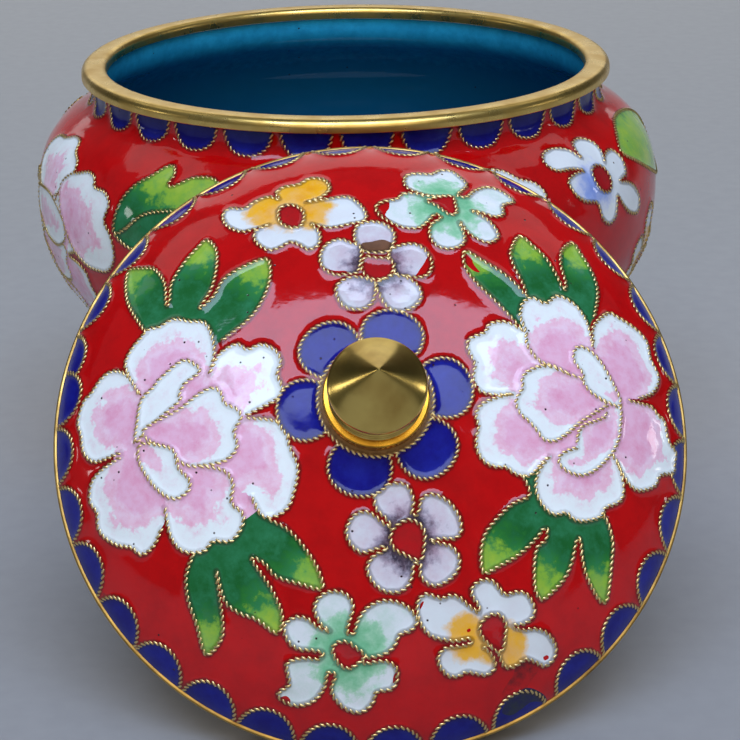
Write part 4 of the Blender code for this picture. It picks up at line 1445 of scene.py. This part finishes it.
WHITE, BLOSSOM_WHITE = "#EAF5F8", "#DCE6EC"
enamels = {
    "ground": enamel("red_enamel", [(0.0, "#BC060A"), (1.0, "#BC060A")],
                     cloud=("#8A0408", 0.5), pits=0.14, dull=0.6),
    "cobalt": enamel("cobalt_enamel", [(0.0, "#15158C"), (0.5, "#100E76"), (1.0, "#100E76")],
                     ragged=0.2, cloud=("#2436B4", 0.4), pits=0.25, roughness=0.11, shine=0.3),
    "petal": enamel("peony_enamel", [(0.0, WHITE), (0.4, WHITE), (0.5, "#F0CCE0"),
                                     (0.75, "#EFD4E8"), (1.0, "#EABCD8")],
                    ragged=0.19, grain=1.5, cloud=("#DE76A0", 0.55), patch=2.4, pits=0.5,
                    dull=0.25, white_rim=True),
    "leaf": enamel("leaf_enamel", [(0.0, "#9CBE46"), (0.33, "#84B43A"), (0.48, "#2B7A34"),
                                   (0.7, "#18602C"), (1.0, "#1E6838")],
                   ragged=0.16, grain=2.0, cloud=("#3F9A72", 0.45), patch=4.0, pits=0.2),
    "yellow_blossom": enamel("yellow_blossom_enamel", [
        (0.0, "#E0971C"), (0.3, "#EEB020"), (0.5, "#EBB43C"), (0.62, BLOSSOM_WHITE),
        (1.0, BLOSSOM_WHITE)], ragged=0.09, grain=3.0, cloud=("#CDBFC8", 0.3), pits=0.4),
    "green_blossom": enamel("green_blossom_enamel", [
        (0.0, "#4FA27A"), (0.35, "#78BF94"), (0.55, "#A0D2B4"), (0.68, BLOSSOM_WHITE),
        (1.0, BLOSSOM_WHITE)], ragged=0.2, grain=2.6, cloud=("#7FC49A", 0.35), patch=3.5,
        pits=0.5),
    "lilac_blossom": enamel("lilac_blossom_enamel", [
        (0.0, "#2A2230"), (0.34, "#3E3848"), (0.44, "#9A94A6"), (0.55, "#CDC9D6"),
        (1.0, BLOSSOM_WHITE)], ragged=0.12, grain=1.8, cloud=("#C59FB0", 0.45), patch=3.0,
        pits=0.5),
    "blue_blossom": enamel("blue_blossom_enamel", [
        (0.0, "#6F8EDC"), (0.25, "#8FA8E4"), (0.45, "#C9D4EC"), (0.6, BLOSSOM_WHITE),
        (1.0, BLOSSOM_WHITE)], ragged=0.15, grain=2.4, cloud=("#C9CCD8", 0.3)),
    "drop": enamel("blossom_heart_enamel", [(0.0, "#B4141A"), (1.0, "#A31820")],
                   cloud=("#6A2320", 0.4), patch=2.5, pits=0.3),
    "stain": enamel("burnt_enamel", [(0.0, "#B08C5E"), (0.88, "#A27E52"), (1.0, "#74503A")],
                    cloud=("#3A2A1C", 0.5), patch=2.0, pits=0.3, roughness=0.3),
    "char": enamel("scorched_red_enamel", [(0.0, "#AC080B"), (1.0, "#AC080B")],
                   cloud=("#120608", 1.0), patch=2.4, pits=1.0, roughness=0.2),
    "soot": enamel("scorched_cobalt_enamel", [(0.0, "#14144E"), (1.0, "#14144E")],
                   cloud=("#28342C", 1.0), patch=1.8, pits=1.0, roughness=0.2),
    # The inside's turquoise, pale near the top and dark deeper down, as painted shade.
    "counter": enamel("turquoise_counter_enamel", [
        (0.0, "#2BA8DA"), (0.2, "#1A90C0"), (0.45, "#0D5C88"), (1.0, "#0B5078")],
        ragged=0.05, cloud=("#0A4E78", 0.4), pits=0.1, dull=0.0),
}
for shell in (lid_shell, jar_shell):
    for finish in FINISHES:
        shell.data.materials.append(enamels[finish])
print("enamel finishes:", len(enamels))

# %% [markdown]
# ## Gilt wire and brass
#
# The wires and rings are brass with a thin gilding, polished by hand after the last firing.
# Gold and brass are metals, so metallic is 1 and the default index of refraction stays. The
# twisted wire is painted lighter on the high side of each strand and darker on its low side,
# as painted highlight and shade, and darker still between the strands, as painted shade with
# some brown oxide.
# The knob is bare turned brass: fine tool lines run round it. The lid's rim takes a darker copy
# of the gilt brass, painted shade that tones down its reflection, and the collar under the knob
# has kept the yellowest gilding.

# %% The metals
TOOL_LINE_DEPTH = 0.02


def gilt_wire():
    made, tree = new_material("gilt_twisted_wire")
    place = add_node(tree, "TexCoord").outputs["Object"]
    low = add_node(tree, "Attribute", attribute_name="low").outputs["Fac"]
    dirt = add_node(tree, "TexNoise", {"Vector": place, "Scale": per_mm(1.5), "Detail": 3.0})
    share = add_node(tree, "Math", {0: dirt.outputs["Fac"], 1: 0.5, 2: low},
                     operation="MULTIPLY_ADD")
    # Painted highlight and shade: pale gold where the number is low, near black on the strands' low
    # sides and in the notches.
    ramp = add_node(tree, "ValToRGB", {"Fac": share.outputs[0]}, stops=[
        (0.0, "#FFF0C2"), (0.5, "#F4D488"), (0.68, "#9A7030"), (0.84, "#140C04")])
    metal = add_node(tree, "BsdfPrincipled", {
        "Base Color": ramp.outputs["Color"], "Metallic": 1.0, "Roughness": 0.36})
    add_node(tree, "OutputMaterial", {"Surface": metal.outputs["BSDF"]})
    return made


def brass(name, bright, shade, roughness, line_gap, line_strength):
    """Lathe-turned brass: its tool lines run round the axis, line_gap mm apart."""
    made, tree = new_material(name)
    place = add_node(tree, "TexCoord").outputs["Object"]
    stain = add_node(tree, "TexNoise", {"Vector": place, "Scale": per_mm(5.0), "Detail": 4.0})
    share = add_node(tree, "MapRange", {"Value": stain.outputs["Fac"], "From Min": 0.4,
                                        "From Max": 0.75}).outputs["Result"]
    colour = add_node(tree, "Mix", {0: share, 6: linear(bright), 7: linear(shade)},
                      data_type="RGBA").outputs[2]
    height = add_node(tree, "Attribute", attribute_name="height").outputs["Fac"]
    squashed = add_node(tree, "CombineXYZ", {2: height}).outputs[0]
    lines = add_node(tree, "TexNoise", {"Vector": squashed, "Scale": per_mm(line_gap),
                                        "Detail": 2.0})
    dull = add_node(tree, "MapRange", {"Value": stain.outputs["Fac"], "From Min": 0.3,
                                       "From Max": 0.8, "To Min": roughness * 0.8,
                                       "To Max": roughness * 1.5}).outputs["Result"]
    bump = add_node(tree, "Bump", {"Height": lines.outputs["Fac"], "Strength": line_strength,
                                   "Distance": TOOL_LINE_DEPTH * MM})
    metal = add_node(tree, "BsdfPrincipled", {
        "Base Color": colour, "Metallic": 1.0, "Roughness": dull,
        "Normal": bump.outputs["Normal"]})
    add_node(tree, "OutputMaterial", {"Surface": metal.outputs["BSDF"]})
    return made


wire_gilding = gilt_wire()
for piece in wire_pieces:
    piece.data.materials.append(wire_gilding)
ring_brass = brass("gilt_brass", "#F4D078", "#DDB45C", 0.28, 0.25, 0.3)
# Painted shade: a darker copy of the gilt brass for the lid's rim, which tones down its reflection.
dimmed_rim_brass = brass("dimmed_gilt_brass", "#D2AC5E", "#94703A", 0.36, 0.25, 0.3)
collar_brass = brass("yellow_gilt_brass", "#F0B840", "#B87C28", 0.24, 0.25, 0.3)
knob_brass = brass("turned_brass", "#DFC06A", "#BF9C50", 0.19, 0.2, 0.2)
for piece in (mouth_ring, foot_ring):
    piece.data.materials.append(ring_brass)
lid_edge_ring.data.materials.append(dimmed_rim_brass)
collar.data.materials.append(collar_brass)
knob.data.materials.append(knob_brass)
print("metals:", [m.name for m in (wire_gilding, ring_brass, dimmed_rim_brass, collar_brass, knob_brass)])

# %% [markdown]
# ## The studio's floor
#
# A sheet of pale paper lies under the caddy and sweeps up behind it in a quarter circle, so that
# no edge or crease shows from any side.

# %% The floor
FLOOR_FRONT = -6.0
FLOOR_HALF_WIDTH = 5.0
SWEEP_START = 0.8
SWEEP_RADIUS = 0.8


def floor_sheet():
    made = bpy.data.meshes.new("studio_floor")
    arc = [math.radians(a) for a in range(0, 91, 6)]
    sweep = [(SWEEP_START + SWEEP_RADIUS * math.sin(a), SWEEP_RADIUS - SWEEP_RADIUS * math.cos(a))
             for a in arc]
    depth = [(FLOOR_FRONT, 0.0), (-1.6, 0.0)] + sweep + [(1.6, 1.9)]
    verts = [(x, y, z) for y, z in depth for x in (-FLOOR_HALF_WIDTH, FLOOR_HALF_WIDTH)]
    faces = [(2 * k, 2 * k + 1, 2 * k + 3, 2 * k + 2) for k in range(len(depth) - 1)]
    made.from_pydata(verts, [], faces)
    made.polygons.foreach_set("use_smooth", [True] * len(faces))
    sheet = bpy.data.objects.new("studio_floor", made)
    bpy.context.scene.collection.objects.link(sheet)
    sheet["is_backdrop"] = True
    paper, tree = new_material("pale_paper")
    place = add_node(tree, "TexCoord").outputs["Object"]
    tooth = add_node(tree, "TexNoise", {"Vector": place, "Scale": per_mm(4.0), "Detail": 3.0})
    tint = add_node(tree, "ValToRGB", {"Fac": tooth.outputs["Fac"]},
                    stops=[(0.3, "#8C8E90"), (0.7, "#909294")])
    board = add_node(tree, "BsdfPrincipled", {"Base Color": tint.outputs["Color"],
                                              "Roughness": 0.7})
    add_node(tree, "OutputMaterial", {"Surface": board.outputs["BSDF"]})
    made.materials.append(paper)
    print("floor:", len(faces), "faces")


floor_sheet()

# %% [markdown]
# ## The lamps
#
# Glossy enamel needs broad pale things to reflect. A softbox overhead and a tall panel behind
# give the large reflections on the lid and the jar's shoulders, and two small panels add to
# them at the sides. Two small lamps at the far left and right draw the narrow streaks on the
# knob. The front fill and the rear wash brighten without being reflected, as light from distant
# walls does. The gold card lights only the wires, the mouth ring, the lid's rim and the collar,
# which are gilt. The Standard view keeps the colours as they were chosen.

# %% Hang the lamps
def softbox(name, at, aim, size, power, colour="#FFFFFF", glossy=True, only=None):
    lamp = bpy.data.lights.new(name, "AREA")
    lamp.shape = "RECTANGLE"
    lamp.size, lamp.size_y = size
    lamp.energy = power
    lamp.color = linear(colour)[:3]
    made = bpy.data.objects.new(name, lamp)
    made.location = at
    made.visible_glossy = glossy
    made.visible_camera = False
    made.rotation_euler = (Vector(aim) - Vector(at)).to_track_quat("-Z", "Y").to_euler()
    bpy.context.scene.collection.objects.link(made)
    if only:
        made.light_linking.receiver_collection = bpy.data.collections.new(name + "_lights")
        for piece in only:
            made.light_linking.receiver_collection.objects.link(piece)


SKY = "#CBDDFF"
WARM = "#FFF0DC"
softbox("overhead_softbox", (0.0, -0.54, 1.1), (0.0, -0.54, 0.0), (1.2, 0.64), 14.0, SKY)
softbox("back_panel", (0.0, 1.5, 0.85), (0.0, 0.0, 0.85), (1.6, 1.5), 5.6)
softbox("back_left_panel", (-0.72, 0.57, 1.07), (0.0, 0.0, 0.05), (0.5, 0.5), 0.4)
softbox("back_right_panel", (0.72, 0.57, 1.07), (0.0, 0.0, 0.05), (0.5, 0.5), 0.4)
softbox("left_lamp", (-1.42, 0.0, 0.33), (0.0, -0.08, 0.06), (0.15, 0.15), 0.35)
softbox("right_lamp", (1.42, 0.0, 0.33), (0.0, -0.08, 0.06), (0.15, 0.15), 0.35)
softbox("front_fill", (0.0, -1.6, 1.0), (0, 0, 0.04), (1.6, 1.2), 14.0, WARM, glossy=False)
softbox("rear_wash", (0.0, 0.95, 0.9), (0.0, 0.6, 0.0), (1.8, 0.3), 11.0, glossy=False)
softbox("gold_card", (0.0, -1.25, 0.8), (0.0, 0.0, 0.05), (1.5, 0.9), 5.0, WARM,
        only=wire_pieces + [mouth_ring, lid_edge_ring, collar])

world = bpy.data.worlds.new("studio_air")
world.use_nodes = True
world.node_tree.nodes["Background"].inputs["Color"].default_value = linear("#A9B0B6")
world.node_tree.nodes["Background"].inputs["Strength"].default_value = 0.22
bpy.context.scene.world = world
bpy.context.scene.view_settings.view_transform = "Standard"

# %% [markdown]
# ## The camera
#
# The camera stands where the ellipses of the jar's mouth and of the lid's edge put it: in front
# of the lid, a little to the left, looking down by about 21 degrees through a long lens.

# %% Place the camera
CAMERA_AT = Vector((-0.01348, -0.36271, 0.16877))
CAMERA_AHEAD = Vector((0.04085, 0.93179, -0.36069)).normalized()
CAMERA_ROLL = math.radians(-0.82)
CAMERA_LENS = 102.2
level = CAMERA_AHEAD.cross(Vector((0, 0, 1))).normalized()
upright = level.cross(CAMERA_AHEAD)
right = level * math.cos(CAMERA_ROLL) + upright * math.sin(CAMERA_ROLL)
up = upright * math.cos(CAMERA_ROLL) - level * math.sin(CAMERA_ROLL)
lens = bpy.data.cameras.new("camera")
lens.lens = CAMERA_LENS
lens.sensor_width = 36.0
lens.clip_start = 0.01
camera = bpy.data.objects.new("camera", lens)
axes = Matrix((right, up, -CAMERA_AHEAD)).transposed().to_4x4()
camera.matrix_world = Matrix.Translation(CAMERA_AT) @ axes
bpy.context.scene.collection.objects.link(camera)
bpy.context.scene.camera = camera
print("camera at", [round(x, 3) for x in CAMERA_AT], "m, lens", CAMERA_LENS, "mm")

# %% [markdown]
# ## Measure and finish
#
# The triangles of every piece that shows are counted. The dressed caddy has to stay in
# the box of its solids.

# %% Count the triangles
triangles = 0
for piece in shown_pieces():
    piece.data.calc_loop_triangles()
    triangles += len(piece.data.loop_triangles)
print("triangles in all:", triangles)
